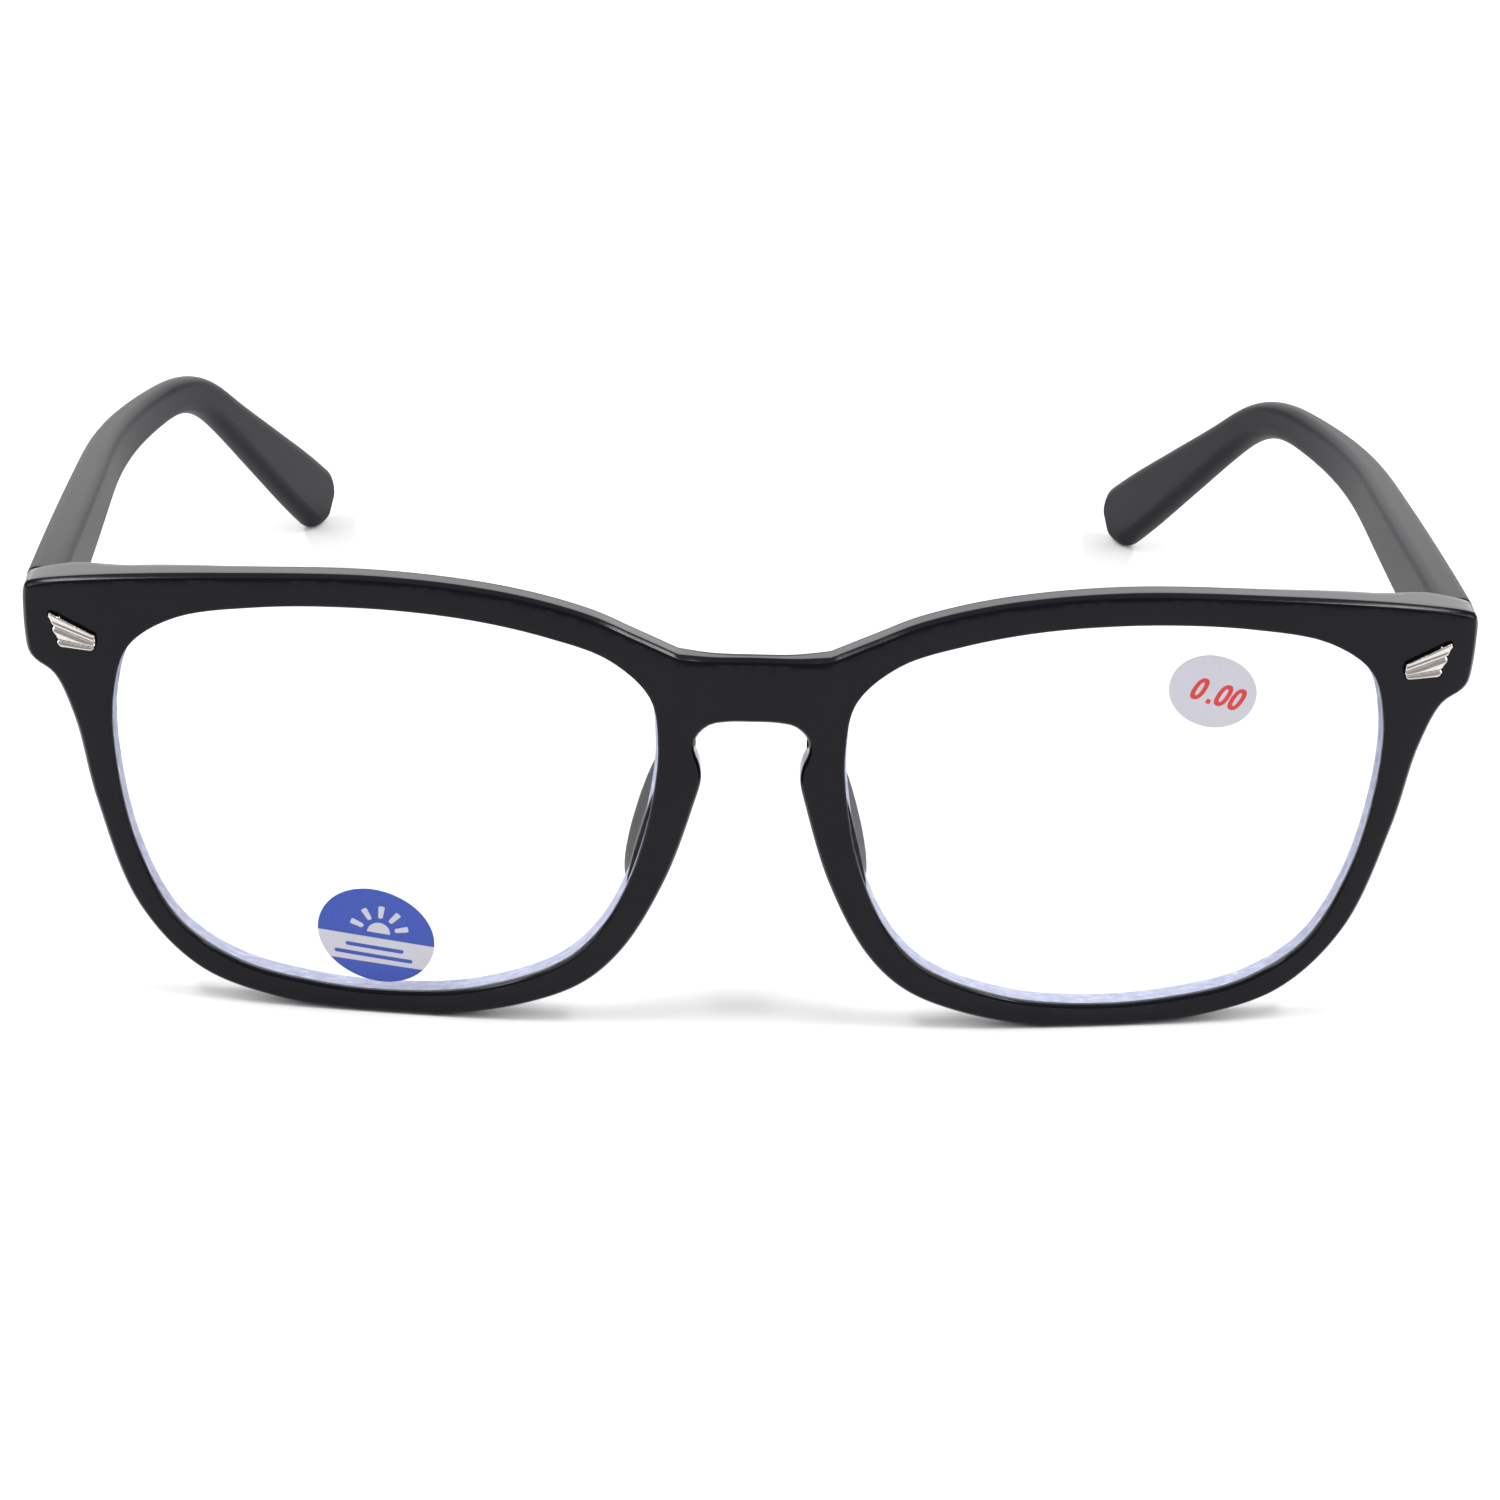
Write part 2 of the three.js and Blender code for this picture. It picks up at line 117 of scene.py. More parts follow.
OPENING = [
    [9.1, 30], [10, 35.2], [14, 39], [20, 41.1], [28, 42.6], [38, 43.1], [48, 42.4],
    [56, 40.6], [60.5, 37.3], [62, 32.5], [62, 26], [60, 16.2], [56, 8.5], [50, 4.5],
    [42, 2.8], [34, 2.45], [26, 3.4], [18, 6.6], [14, 10.8], [11, 17.5], [9.5, 24.5],
]
WING = [
    [2.18, 1.83], [-2.26, -0.19], [-2.35, -0.79], [-2.32, -1.37], [-1.99, -1.8], [1.15, -1.68], [1.49, -1.23],
    [1.38, -0.87], [1.51, -0.6], [1.91, -0.02], [1.8, 0.36], [1.91, 0.65], [2.34, 1.37],
]


# ---------------------------------------------------------------- curves in the x, z plane


def smoothstep(value, low, high):
    t = np.clip((value - low) / (high - low), 0, 1)
    return t * t * (3 - 2 * t)


def centripetal(points, steps=24, closed=False):
    """Points along a centripetal Catmull-Rom curve."""
    knots = np.array(points, float)
    if closed:
        knots = np.vstack([knots[-1:], knots, knots[:2]])
    else:
        knots = np.vstack([2 * knots[0] - knots[1], knots, 2 * knots[-1] - knots[-2]])
    stretches = []
    for p0, p1, p2, p3 in zip(knots, knots[1:], knots[2:], knots[3:]):
        t1 = math.sqrt(np.linalg.norm(p1 - p0))
        t2 = t1 + math.sqrt(np.linalg.norm(p2 - p1))
        t3 = t2 + math.sqrt(np.linalg.norm(p3 - p2))
        t = np.linspace(t1, t2, steps, endpoint=False)[:, None]
        a1 = ((t1 - t) * p0 + t * p1) / t1
        a2 = ((t2 - t) * p1 + (t - t1) * p2) / (t2 - t1)
        a3 = ((t3 - t) * p2 + (t - t2) * p3) / (t3 - t2)
        b1 = ((t2 - t) * a1 + t * a2) / t2
        b2 = ((t3 - t) * a2 + (t - t1) * a3) / (t3 - t1)
        stretches.append(((t2 - t) * b1 + (t - t1) * b2) / (t2 - t1))
    if not closed:
        stretches.append(knots[-2:-1])
    return np.vstack(stretches)


def resample(points, spacing, closed=False):
    """The same line with evenly spaced points."""
    line = np.vstack([points, points[:1]]) if closed else points
    along = np.concatenate([[0], np.cumsum(np.linalg.norm(np.diff(line, axis=0), axis=1))])
    count = max(3, round(along[-1] / spacing))
    at = np.linspace(0, along[-1], count, endpoint=not closed)
    return np.column_stack([np.interp(at, along, line[:, i]) for i in range(line.shape[1])])


def area(loop):
    after = np.roll(loop, -1, 0)
    return np.sum(loop[:, 0] * after[:, 1] - after[:, 0] * loop[:, 1]) / 2


def inset(loop, distance):
    """Moves a closed loop's points inwards, by one distance or by a distance for each point."""
    along = np.roll(loop, -1, 0) - np.roll(loop, 1, 0)
    along /= np.linalg.norm(along, axis=1)[:, None]
    inward = np.column_stack([-along[:, 1], along[:, 0]]) * math.copysign(1, area(loop))
    return loop + inward * np.reshape(distance, (-1, 1))


def inside(points, loop):
    """Which points lie inside a closed loop."""
    after = np.roll(loop, -1, 0)
    rise = after[:, 1] - loop[:, 1]
    rise = np.where(rise == 0, 1e-12, rise)
    found = np.zeros(len(points), bool)
    for start in range(0, len(points), 1500):
        x = points[start:start + 1500, :1]
        z = points[start:start + 1500, 1:2]
        crosses = (loop[:, 1] > z) != (after[:, 1] > z)
        at = loop[:, 0] + (z - loop[:, 1]) * (after[:, 0] - loop[:, 0]) / rise
        found[start:start + 1500] = (crosses & (x < at)).sum(1) % 2 == 1
    return found


def distance_to(points, loop):
    """Distance from each point to the nearest point of a loop."""
    found = np.zeros(len(points))
    for start in range(0, len(points), 1500):
        apart = points[start:start + 1500, None, :] - loop[None]
        found[start:start + 1500] = np.sqrt((apart ** 2).sum(2).min(1))
    return found


def lattice(low, high, step):
    """Points of a staggered grid."""
    points = []
    for i, z in enumerate(np.arange(low[1], high[1], step * ROW_STEP)):
        start = low[0] + step / 2 * (i % 2)
        points += [[x, z] for x in np.arange(start, high[0], step)]
    return np.array(points)


def between(points, outer, holes, margin):
    """The points that lie in an outer loop and outside its holes, at least a margin from every edge."""
    keep = inside(points, outer) & (distance_to(points, outer) > margin)
    for hole in holes:
        keep &= ~inside(points, hole) & (distance_to(points, hole) > margin)
    return points[keep]


def triangulate(loops, extra, edges=()):
    """Triangles over loops[0] less the other loops, counting the loops' points, then the extra ones."""
    points = np.vstack([*loops, extra]) if len(extra) else np.vstack(loops)
    lines = list(edges)
    start = 0
    for loop in loops:
        lines += [(start + i, start + (i + 1) % len(loop)) for i in range(len(loop))]
        start += len(loop)
    _, _, faces, origins, _, _ = delaunay_2d_cdt([Vector(p) for p in points], lines, [], 0, 1e-7)
    corners = np.array([[origins[i][0] for i in face] for face in faces])
    middles = points[corners].mean(1)
    keep = inside(middles, loops[0])
    for hole in loops[1:]:
        keep &= ~inside(middles, hole)
    return corners[keep]


# ---------------------------------------------------------------- shapes


def mirror(shape):
    return Shape(shape.points * [-1, 1, 1], [face[::-1] for face in shape.faces], shape.finishes)


class Builder:
    """Collects rings and faces of one closed shape."""

    def __init__(self):
        self.points, self.faces, self.finishes, self.count = [], [], [], 0

    def add(self, points):
        start = self.count
        self.points.append(np.asarray(points, float))
        self.count += len(points)
        return np.arange(start, self.count)

    def face(self, corners, finish=0):
        self.faces.append([int(i) for i in corners])
        self.finishes.append(finish)

    def bridge(self, a, b, finish=0):
        """Quads between two closed rings of the same count."""
        for i in range(len(a)):
            j = (i + 1) % len(a)
            self.face((a[i], a[j], b[j], b[i]), finish)

    def sheet(self, numbers, triangles, finish=0):
        """Triangles whose corners are counted in a list of point numbers."""
        for triangle in triangles:
            self.face(numbers[triangle], finish)

    def shape(self):
        return Shape(np.vstack(self.points), self.faces, self.finishes)


def lift(flat, y):
    """[x, z] points with their y."""
    return np.column_stack([flat[:, 0], y, flat[:, 1]])


def to_object(name, shape, materials, sharp=SHARP_ANGLE, weighted=True):
    mesh = bpy.data.meshes.new(name)
    placed = shape.points * MM + np.array([0, BRIDGE_Y, 0])
    mesh.from_pydata(placed.tolist(), [], [list(face) for face in shape.faces])
    mesh.polygons.foreach_set("material_index", list(shape.finishes))
    for material in materials:
        mesh.materials.append(material)
    bm = bmesh.new()
    bm.from_mesh(mesh)
    bmesh.ops.remove_doubles(bm, verts=bm.verts, dist=SAME_POINT)
    bmesh.ops.recalc_face_normals(bm, faces=bm.faces)
    bm.to_mesh(mesh)
    bm.free()
    mesh.shade_smooth()
    mesh.set_sharp_from_angle(angle=math.radians(sharp))
    obj = bpy.data.objects.new(name, mesh)
    bpy.context.scene.collection.objects.link(obj)
    if weighted:
        modifier = obj.modifiers.new("normals", "WEIGHTED_NORMAL")
        modifier.keep_sharp = True
    return obj


def place(obj, body, node):
    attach(obj, body)
    if node:
        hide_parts(node)
    return obj


def add_pair(name, shape, body, node, materials, sharp=SHARP_ANGLE):
    """The piece on the wearer's left and its mirror image. "{}" in a name stands for the side."""
    for side, made in (("left", shape), ("right", mirror(shape))):
        obj = to_object(name.format(side), made, materials, sharp)
        place(obj, body.format(side), node.format(side) if node else None)


# ---------------------------------------------------------------- surfaces of the front


def wrap(x):
    return x * x / (2 * WRAP_RADIUS)


def front_surface(flat):
    """The front face: bent round the head, and set back between the rims at the bridge."""
    x, z = np.abs(flat[:, 0]), flat[:, 1]
    half = np.interp(z, BOWL["levels"], BOWL["half_widths"])
    share = 1 - (x / half) ** 2
    never_negative = (share + np.sqrt(share ** 2 + 0.004)) / 2
    fade = smoothstep(half + BOWL["edge"] - x, 0, BOWL["edge"]) * smoothstep(z, *BOWL["up"])
    bowl = BOWL["depth"] * never_negative * fade
    ease = np.clip(1 - distance_to(flat, outer_loop) / PILLOW["width"], 0, 1)
    return wrap(x) + bowl + PILLOW["depth"] * ease ** 2


def lens_front(flat):
    across = (np.abs(flat[:, 0]) - LENS_SHAPE["x"]) / LENS_SHAPE["half_width"]
    up = (flat[:, 1] - LENS_SHAPE["z"]) / LENS_SHAPE["half_height"]
    return wrap(flat[:, 0]) + LENS_INSET - LENS_SHAPE["bulge"] * (1 - across ** 2 - up ** 2)


HALF_LOOP = HALF_OUTLINE + [[-x, z] for x, z in HALF_OUTLINE[-2::-1]]
outer_loop = np.vstack([
    resample(centripetal(HALF_LOOP), OUTLINE_STEP)[:-1],
    resample(centripetal(BRIDGE_TOP), OUTLINE_STEP)[:-1],
])
outer_loop[:, 1] = np.maximum(outer_loop[:, 1], 0)
opening_loop = resample(centripetal(OPENING, closed=True), OUTLINE_STEP, closed=True)

POCKET = {"low": leaf_low[[0, 2]] - 0.25, "high": np.array([leaf_high[0] + 0.12, leaf_high[2] + 0.25])}
LEAF_FACE = SEAM_Y - 2.35  # the hinge plate's front face, which the pocket's floor carries
LUG = {"inner": POCKET["high"][0], "bottom": 35.0}
FRONT_AREA = [-72, 0], [72, 48]
HINGE_AREA = [59.5, 33.4], [70.6, 44.4]  # where the back needs a finer grid


def back_surface(flat):
    """The back face: thicker towards the endpieces, with a pocket for the hinge plate."""
    folded = np.abs(flat * [1, 0]) + flat * [0, 1]
    x, z = folded.T
    clear = distance_to(folded, opening_loop)
    thin_top = smoothstep(z, *THIN_TOP["up"]) * (1 - smoothstep(x, *THIN_TOP["across"]))
    growth = smoothstep(x, *ENDPIECE["across"]) * smoothstep(z, *ENDPIECE["up"])
    growth *= smoothstep(clear, *ENDPIECE["off_rim"]) * (1 - thin_top)
    back = np.minimum(wrap(x) + RIM_DEPTH + ENDPIECE["growth"] * growth, SEAM_Y)
    lug = smoothstep(x, LUG["inner"] - 0.1, LUG["inner"] + 0.1)
    lug *= smoothstep(z, LUG["bottom"] - 0.5, LUG["bottom"])
    back += (SEAM_Y - back) * lug
    low, high = POCKET["low"], POCKET["high"]
    sides = smoothstep(x, low[0] - 0.25, low[0]) * (1 - smoothstep(x, high[0] - 0.1, high[0] + 0.1))
    ends = smoothstep(z, low[1] - 0.25, low[1]) * (1 - smoothstep(z, high[1], high[1] + 0.25))
    return back + (LEAF_FACE - back) * sides * ends


# ---------------------------------------------------------------- the moulded front

trim_low, trim_high = box_mm("wing_trim_left")
wing_flat = np.array(WING)
wing_centre = (trim_low + trim_high)[[0, 2]] / 2 - (wing_flat.min(0) + wing_flat.max(0)) / 2
TRIM_PROUD = 0.6
TRIM_SUNK = 0.5
TRIM_GAP = 0.12
TRIM_ROUND = 0.22


def rounded(points, radius, steps=4):
    """A closed loop with each corner cut by a short curve."""
    points = np.array(points, float)
    cut = []
    for before, corner, after in zip(np.roll(points, 1, 0), points, np.roll(points, -1, 0)):
        a, b = before - corner, after - corner
        reach = min(radius, np.linalg.norm(a) / 2.2, np.linalg.norm(b) / 2.2)
        a, b = corner + a / np.linalg.norm(a) * reach, corner + b / np.linalg.norm(b) * reach
        for t in np.linspace(0, 1, steps):
            cut.append((1 - t) ** 2 * a + 2 * t * (1 - t) * corner + t * t * b)
    return np.array(cut)


wing_loop = resample(rounded(wing_flat, 0.14), 0.09, closed=True) + wing_centre


def edge_profile(radius, flat):
    """How far in and how far back each step of a rounded edge lies, from the front face to the side.

    Part of the way round it runs straight for the flat's length.
    """
    turn = math.radians(FRONT_FLAT["angle"])
    steps = [(radius * math.sin(a), radius * (1 - math.cos(a))) for a in np.linspace(0, turn, 6)]
    shift = np.array([math.cos(turn), math.sin(turn)]) * flat
    steps += [(radius * math.sin(a) + shift[0], radius * (1 - math.cos(a)) + shift[1])
              for a in np.linspace(turn, math.pi / 2, 5)]
    reach = steps[-1][0]
    return [(reach - out, back) for out, back in steps]


def ring_stack(loop, sign, front_edge, back_round, groove):
    """Rings as (x-z points, y) over one edge of the front.

    sign is 1 where the material lies inside the loop, else -1.
    """
    rings = []
    for depth_in, depth_back in edge_profile(*front_edge):
        ring = inset(loop, sign * depth_in)
        rings.append((ring, front_surface(ring) + depth_back))
    if groove:
        lens = lens_front(loop)
        for depth, y in GROOVE:
            rings.append((inset(loop, sign * depth), lens + y))
    else:
        front, back = front_surface(loop), back_surface(loop)
        for share in (0.3, 0.5, 0.7):
            rings.append((loop, front + share * (back - front)))
    for angle in np.linspace(math.pi / 2, 0, 6):
        ring = inset(loop, sign * back_round * (1 - math.sin(angle)))
        rings.append((ring, back_surface(ring) - back_round * (1 - math.cos(angle))))
    return rings


def moulded_front():
    build = Builder()
    openings = [opening_loop, opening_loop * [-1, 1]]
    brow = 1 - smoothstep(np.abs(outer_loop[:, 0]), *BROW["end"])
    brow *= smoothstep(outer_loop[:, 1], *BROW["up"])
    back_round = BACK_ROUND + (BROW_BACK_ROUND - BACK_ROUND) * brow
    edges = [(outer_loop, 1, (FRONT_ROUND, FRONT_FLAT["length"]), back_round, False)]
    edges += [(loop, -1, (OPENING_ROUND, 0), BACK_ROUND, True) for loop in openings]
    front_loops, back_loops, front_ids, back_ids = [], [], [], []
    for edge in edges:
        rings = ring_stack(*edge)
        ids = [build.add(lift(flat, y)) for flat, y in rings]
        for a, b in zip(ids, ids[1:]):
            build.bridge(a, b)
        front_loops.append(rings[0][0])
        back_loops.append(rings[-1][0])
        front_ids.append(ids[0])
        back_ids.append(ids[-1])
    for side in (1, -1):
        mouth = inset(wing_loop, -TRIM_GAP) * [side, 1]
        ids = [build.add(lift(mouth, front_surface(mouth) + depth)) for depth in (0, 0.06, TRIM_SUNK)]
        for a, b in zip(ids, ids[1:]):
            build.bridge(a, b)
        build.sheet(ids[-1], triangulate([mouth], []))
        front_loops.append(mouth)
        front_ids.append(ids[0])
    coarse = lattice(*FRONT_AREA, GRID_STEP)
    inner = between(coarse, front_loops[0], front_loops[1:], 0.35)
    numbers = np.concatenate([*front_ids, build.add(lift(inner, front_surface(inner)))])
    build.sheet(numbers, triangulate(front_loops, inner))

    fine = lattice(*HINGE_AREA, FINE_STEP)
    in_fine = (np.abs(coarse[:, 0]) > HINGE_AREA[0][0]) & (coarse[:, 1] > HINGE_AREA[0][1])
    spread = np.vstack([coarse[~in_fine], fine, fine * [-1, 1]])
    inner = between(spread, back_loops[0], back_loops[1:], 0.2)
    numbers = np.concatenate([*back_ids, build.add(lift(inner, back_surface(inner)))])
    build.sheet(numbers, triangulate(back_loops, inner))
    return build.shape()


# ---------------------------------------------------------------- nose pads, moulded on the nasal rims

PAD = {"x": 8.7, "z": 21.4, "lean": 15, "flare": 14, "root_y": 2.4, "depth": 6.2}
PAD_SIZE = {"half_height": 9.2, "half_thick": 1.15}
PAD_ROOT = {"taller": 1.3, "thicker": 0.55, "reach": 0.38}
PAD_EDGE = 0.28  # the share of the depth over which the edge rounds off


def nose_pad():
    """A fin that grows out of the rim's back with a flared root and a round edge."""
    build = Builder()
    around = np.linspace(0, 2 * math.pi, 64, endpoint=False)
    lean, flare = math.radians(PAD["lean"]), math.radians(PAD["flare"])
    rings = []
    for t in np.linspace(0, 1, 30):
        reach = math.sin(t * math.pi / 2)
        root = 1 - smoothstep(reach, 0, PAD_ROOT["reach"])
        end = math.sqrt(max(0, 1 - max(0, (reach - 1 + PAD_EDGE) / PAD_EDGE) ** 2))
        tall = PAD_SIZE["half_height"] * (1 - 0.22 * reach) + PAD_ROOT["taller"] * root
        tall *= 0.45 + 0.55 * end
        thick = PAD_SIZE["half_thick"] * (1 - 0.1 * reach) + PAD_ROOT["thicker"] * root
        thick *= max(end, 0.04)
        along = np.sign(np.cos(around)) * np.abs(np.cos(around)) ** 0.8 * tall
        across = np.sign(np.sin(around)) * np.abs(np.sin(around)) ** 0.9 * thick
        depth = PAD["depth"] * reach * (1 - 0.25 * (along / PAD_SIZE["half_height"]) ** 2 * reach)
        x = PAD["x"] + across * math.cos(flare) + depth * math.sin(flare) - along * math.sin(lean)
        y = PAD["root_y"] - across * math.sin(flare) + depth * math.cos(flare)
        z = PAD["z"] + along * math.cos(lean)
        rings.append(build.add(np.column_stack([x, y, z])))
    for a, b in zip(rings, rings[1:]):
        build.bridge(a, b)
    build.face(rings[0])
    build.face(rings[-1])
    return build.shape()


# ---------------------------------------------------------------- lenses

GROUND_EDGE = 1  # finish number of the frosted edge


def clear_lens():
    """The lens, whose frosted edge slopes in towards the back."""
    build = Builder()
    middle = opening_loop.mean(0)
    away = opening_loop - middle
    turn = np.arctan2(away[:, 1], away[:, 0])
    low = 0.5 - 0.5 * np.sin(turn)
    outer = 0.5 + 0.5 * np.cos(turn)
    slope_in = LENS_SLOPE["everywhere"] + LENS_SLOPE["low"] * low + LENS_SLOPE["outer"] * outer
    front_edge = inset(opening_loop, -LENS_BITE + 0.15)
    apex = inset(opening_loop, -LENS_BITE)
    back_edge = inset(opening_loop, slope_in)
    base = lens_front(opening_loop)
    levels = [(front_edge, lens_front(front_edge) + 0.02), (apex, base + LENS_APEX)]
    for share in (0.25, 0.5, 0.75):
        flat = apex + (back_edge - apex) * share
        levels.append((flat, base + LENS_APEX + (LENS_THICKNESS - LENS_APEX) * share))
    levels.append((back_edge, lens_front(back_edge) + LENS_THICKNESS))
    ids = [build.add(lift(flat, y)) for flat, y in levels]
    for a, b in zip(ids, ids[1:]):
        build.bridge(a, b, GROUND_EDGE)
    grid = lattice([5, 0], [66, 46], 1.1)
    for ring, edge, depth in ((ids[0], front_edge, 0.0), (ids[-1], back_edge, LENS_THICKNESS)):
        inner = between(grid, edge, [], 0.45)
        numbers = np.concatenate([ring, build.add(lift(inner, lens_front(inner) + depth))])
        build.sheet(numbers, triangulate([edge], inner))
    return build.shape()


# ---------------------------------------------------------------- winged trims

WING_GROOVES = [[[1.38, 0.26], [-2.03, -0.89]], [[0.93, -0.99], [-1.99, -1.37]]]


def above_line(flat, line):
    """Signed distance of points above a line."""
    a, b = np.array(line, float) + wing_centre
    along = (b - a) / np.linalg.norm(b - a)
    return (flat - a) @ np.array([along[1], -along[0]])


def trim_face(flat):
    """The trim's front: a rounded edge, grooves between the feathers, and feathers that slant to them."""
    edge = np.clip(distance_to(flat, wing_loop) / TRIM_ROUND, 0, 1)
    drop = TRIM_ROUND * (1 - np.sqrt(edge * (2 - edge)))
    upper, lower = (above_line(flat, line) for line in WING_GROOVES)
    for offset in (upper, lower):
        drop = drop + 0.26 * np.exp(-(offset / 0.1) ** 2)
        drop = drop + 0.16 * smoothstep(-offset, 0.0, 0.05) * (1 - smoothstep(-offset, 0.05, 0.5))
    drop = drop + 0.1 * np.exp(-((upper - 0.55) / 0.16) ** 2)
    return wrap(flat[:, 0]) - TRIM_PROUD + drop


def winged_trim():
    build = Builder()
    foot = inset(wing_loop, 0.02)
    ids = [build.add(lift(foot, wrap(foot[:, 0]) + TRIM_SUNK - 0.02))]
    ids.append(build.add(lift(wing_loop, wrap(wing_loop[:, 0]) + 0.1)))
    ids.append(build.add(lift(wing_loop, trim_face(wing_loop))))
    for a, b in zip(ids, ids[1:]):
        build.bridge(a, b)
    inner = between(lattice(wing_loop.min(0), wing_loop.max(0), 0.075), wing_loop, [], 0.03)
    numbers = np.concatenate([ids[-1], build.add(lift(inner, trim_face(inner)))])
    build.sheet(numbers, triangulate([wing_loop], inner))
    build.sheet(ids[0], triangulate([foot], []))
    return build.shape()


# ---------------------------------------------------------------- stickers

STICKER_THICKNESS = 0.12
STICKER_AIR = 0.05
PAPER, PRINT = 0, 1  # finish numbers
POWER_LABEL = {"half_length": 4.5, "half_width": 3.6, "tilt": -22.3, "print_tilt": -19}
DIGIT = {"half_width": 0.67, "half_height": 1.18, "slant": 12, "stroke": 0.46}
DIGIT_PLACES = [(-1.32, 0.36), (1.08, -0.44), (2.46, -0.92)]
DOT = {"at": (-0.42, -0.98), "half": 0.24}
BLUE_LABEL = {"half_length": 5.9, "half_width": 4.95, "tilt": -24.4, "print_tilt": -6.4}
BAND = (-0.3, -3.05)  # top and bottom of the pale band
BARS = [(2.9, -1.55), (3.9, -2.5)]  # half length and lower edge
SUN = {"at": (0.2, 0.35), "radius": 1.15, "rays": 5}


def oval(middle, half_length, half_width, tilt, count=120, power=2.05):
    angle = np.linspace(0, 2 * math.pi, count, endpoint=False)
    u = half_length * np.sign(np.cos(angle)) * np.abs(np.cos(angle)) ** (2 / power)
    v = half_width * np.sign(np.sin(angle)) * np.abs(np.sin(angle)) ** (2 / power)
    turn = math.radians(tilt)
    x = middle[0] + u * math.cos(turn) - v * math.sin(turn)
    z = middle[1] + u * math.sin(turn) + v * math.cos(turn)
    return np.column_stack([x, z])


def sticker(outline, printed, loops=(), chords=()):
    """A thin label on the lens. printed(points) gives the finish at each point. It changes at the closed
    loops and at the chords, which join two of the rim's points."""
    build = Builder()
    face = -STICKER_AIR - STICKER_THICKNESS
    rim = inset(outline, 0.03)
    back = build.add(lift(outline, lens_front(outline) - STICKER_AIR))
    edge = build.add(lift(outline, lens_front(outline) + face + 0.03))
    top = build.add(lift(rim, lens_front(rim) + face))
    build.bridge(back, edge, PAPER)
    colours = printed((rim + np.roll(rim, -1, 0)) / 2)
    for i, colour in enumerate(colours):
        j = (i + 1) % len(rim)
        build.face((edge[i], edge[j], top[j], top[i]), int(colour))
    spread = between(lattice(outline.min(0), outline.max(0), 0.7), rim, [], 0.3)
    for line in [*loops, *(np.linspace(rim[a], rim[b], 80) for a, b in chords)]:
        spread = spread[distance_to(spread, line) > 0.12]
    links, start = list(chords), len(rim)
    for loop in loops:
        links += [(start + i, start + (i + 1) % len(loop)) for i in range(len(loop))]
        start += len(loop)
    inner = np.vstack([*loops, spread])
    triangles = triangulate([rim], inner, links)
    numbers = np.concatenate([top, build.add(lift(inner, lens_front(inner) + face))])
    colours = printed(np.vstack([rim, inner])[triangles].mean(1))
    for triangle, colour in zip(triangles, colours):
        build.face(numbers[triangle], int(colour))
    floor = between(lattice(outline.min(0), outline.max(0), 1.0), outline, [], 0.4)
    numbers = np.concatenate([back, build.add(lift(floor, lens_front(floor) - STICKER_AIR))])
    build.sheet(numbers, triangulate([outline], floor))
    return build.shape()


def slanted_zero():
    """The outer and inner loop of a leaning zero."""
    loops = []
    for cut in (0, DIGIT["stroke"]):
        flat = oval((0, 0), DIGIT["half_width"] - cut, DIGIT["half_height"] - cut, 0, count=40, power=2.4)
        flat[:, 0] += flat[:, 1] * math.tan(math.radians(DIGIT["slant"]))
        loops.append(flat)
    return loops


def turn_by(degrees):
    """Row-vector rotation in the x, z plane, anticlockwise."""
    a = math.radians(degrees)
    return np.array([[math.cos(a), math.sin(a)], [-math.sin(a), math.cos(a)]])


def in_any(points, loops):
    """Which points lie in an odd number of the loops."""
    return sum(inside(points, loop).astype(int) for loop in loops) % 2 == 1


def power_sticker():
    """A label with a plain power in slanted digits, 0.00."""
    low, high = box_mm("power_sticker")
    middle = (low + high)[[0, 2]] / 2
    outline = oval(middle, POWER_LABEL["half_length"], POWER_LABEL["half_width"], POWER_LABEL["tilt"])
    tilt = turn_by(POWER_LABEL["print_tilt"])
    loops = [loop @ tilt + (middle + place_at) for place_at in DIGIT_PLACES for loop in slanted_zero()]
    half = DOT["half"]
    dot = rounded([[-half, -half], [half, -half], [half, half], [-half, half]], 0.08)
    loops.append(resample(dot, 0.12, closed=True) @ tilt + middle + DOT["at"])
    return sticker(outline, lambda points: np.where(in_any(points, loops), PRINT, PAPER), loops)


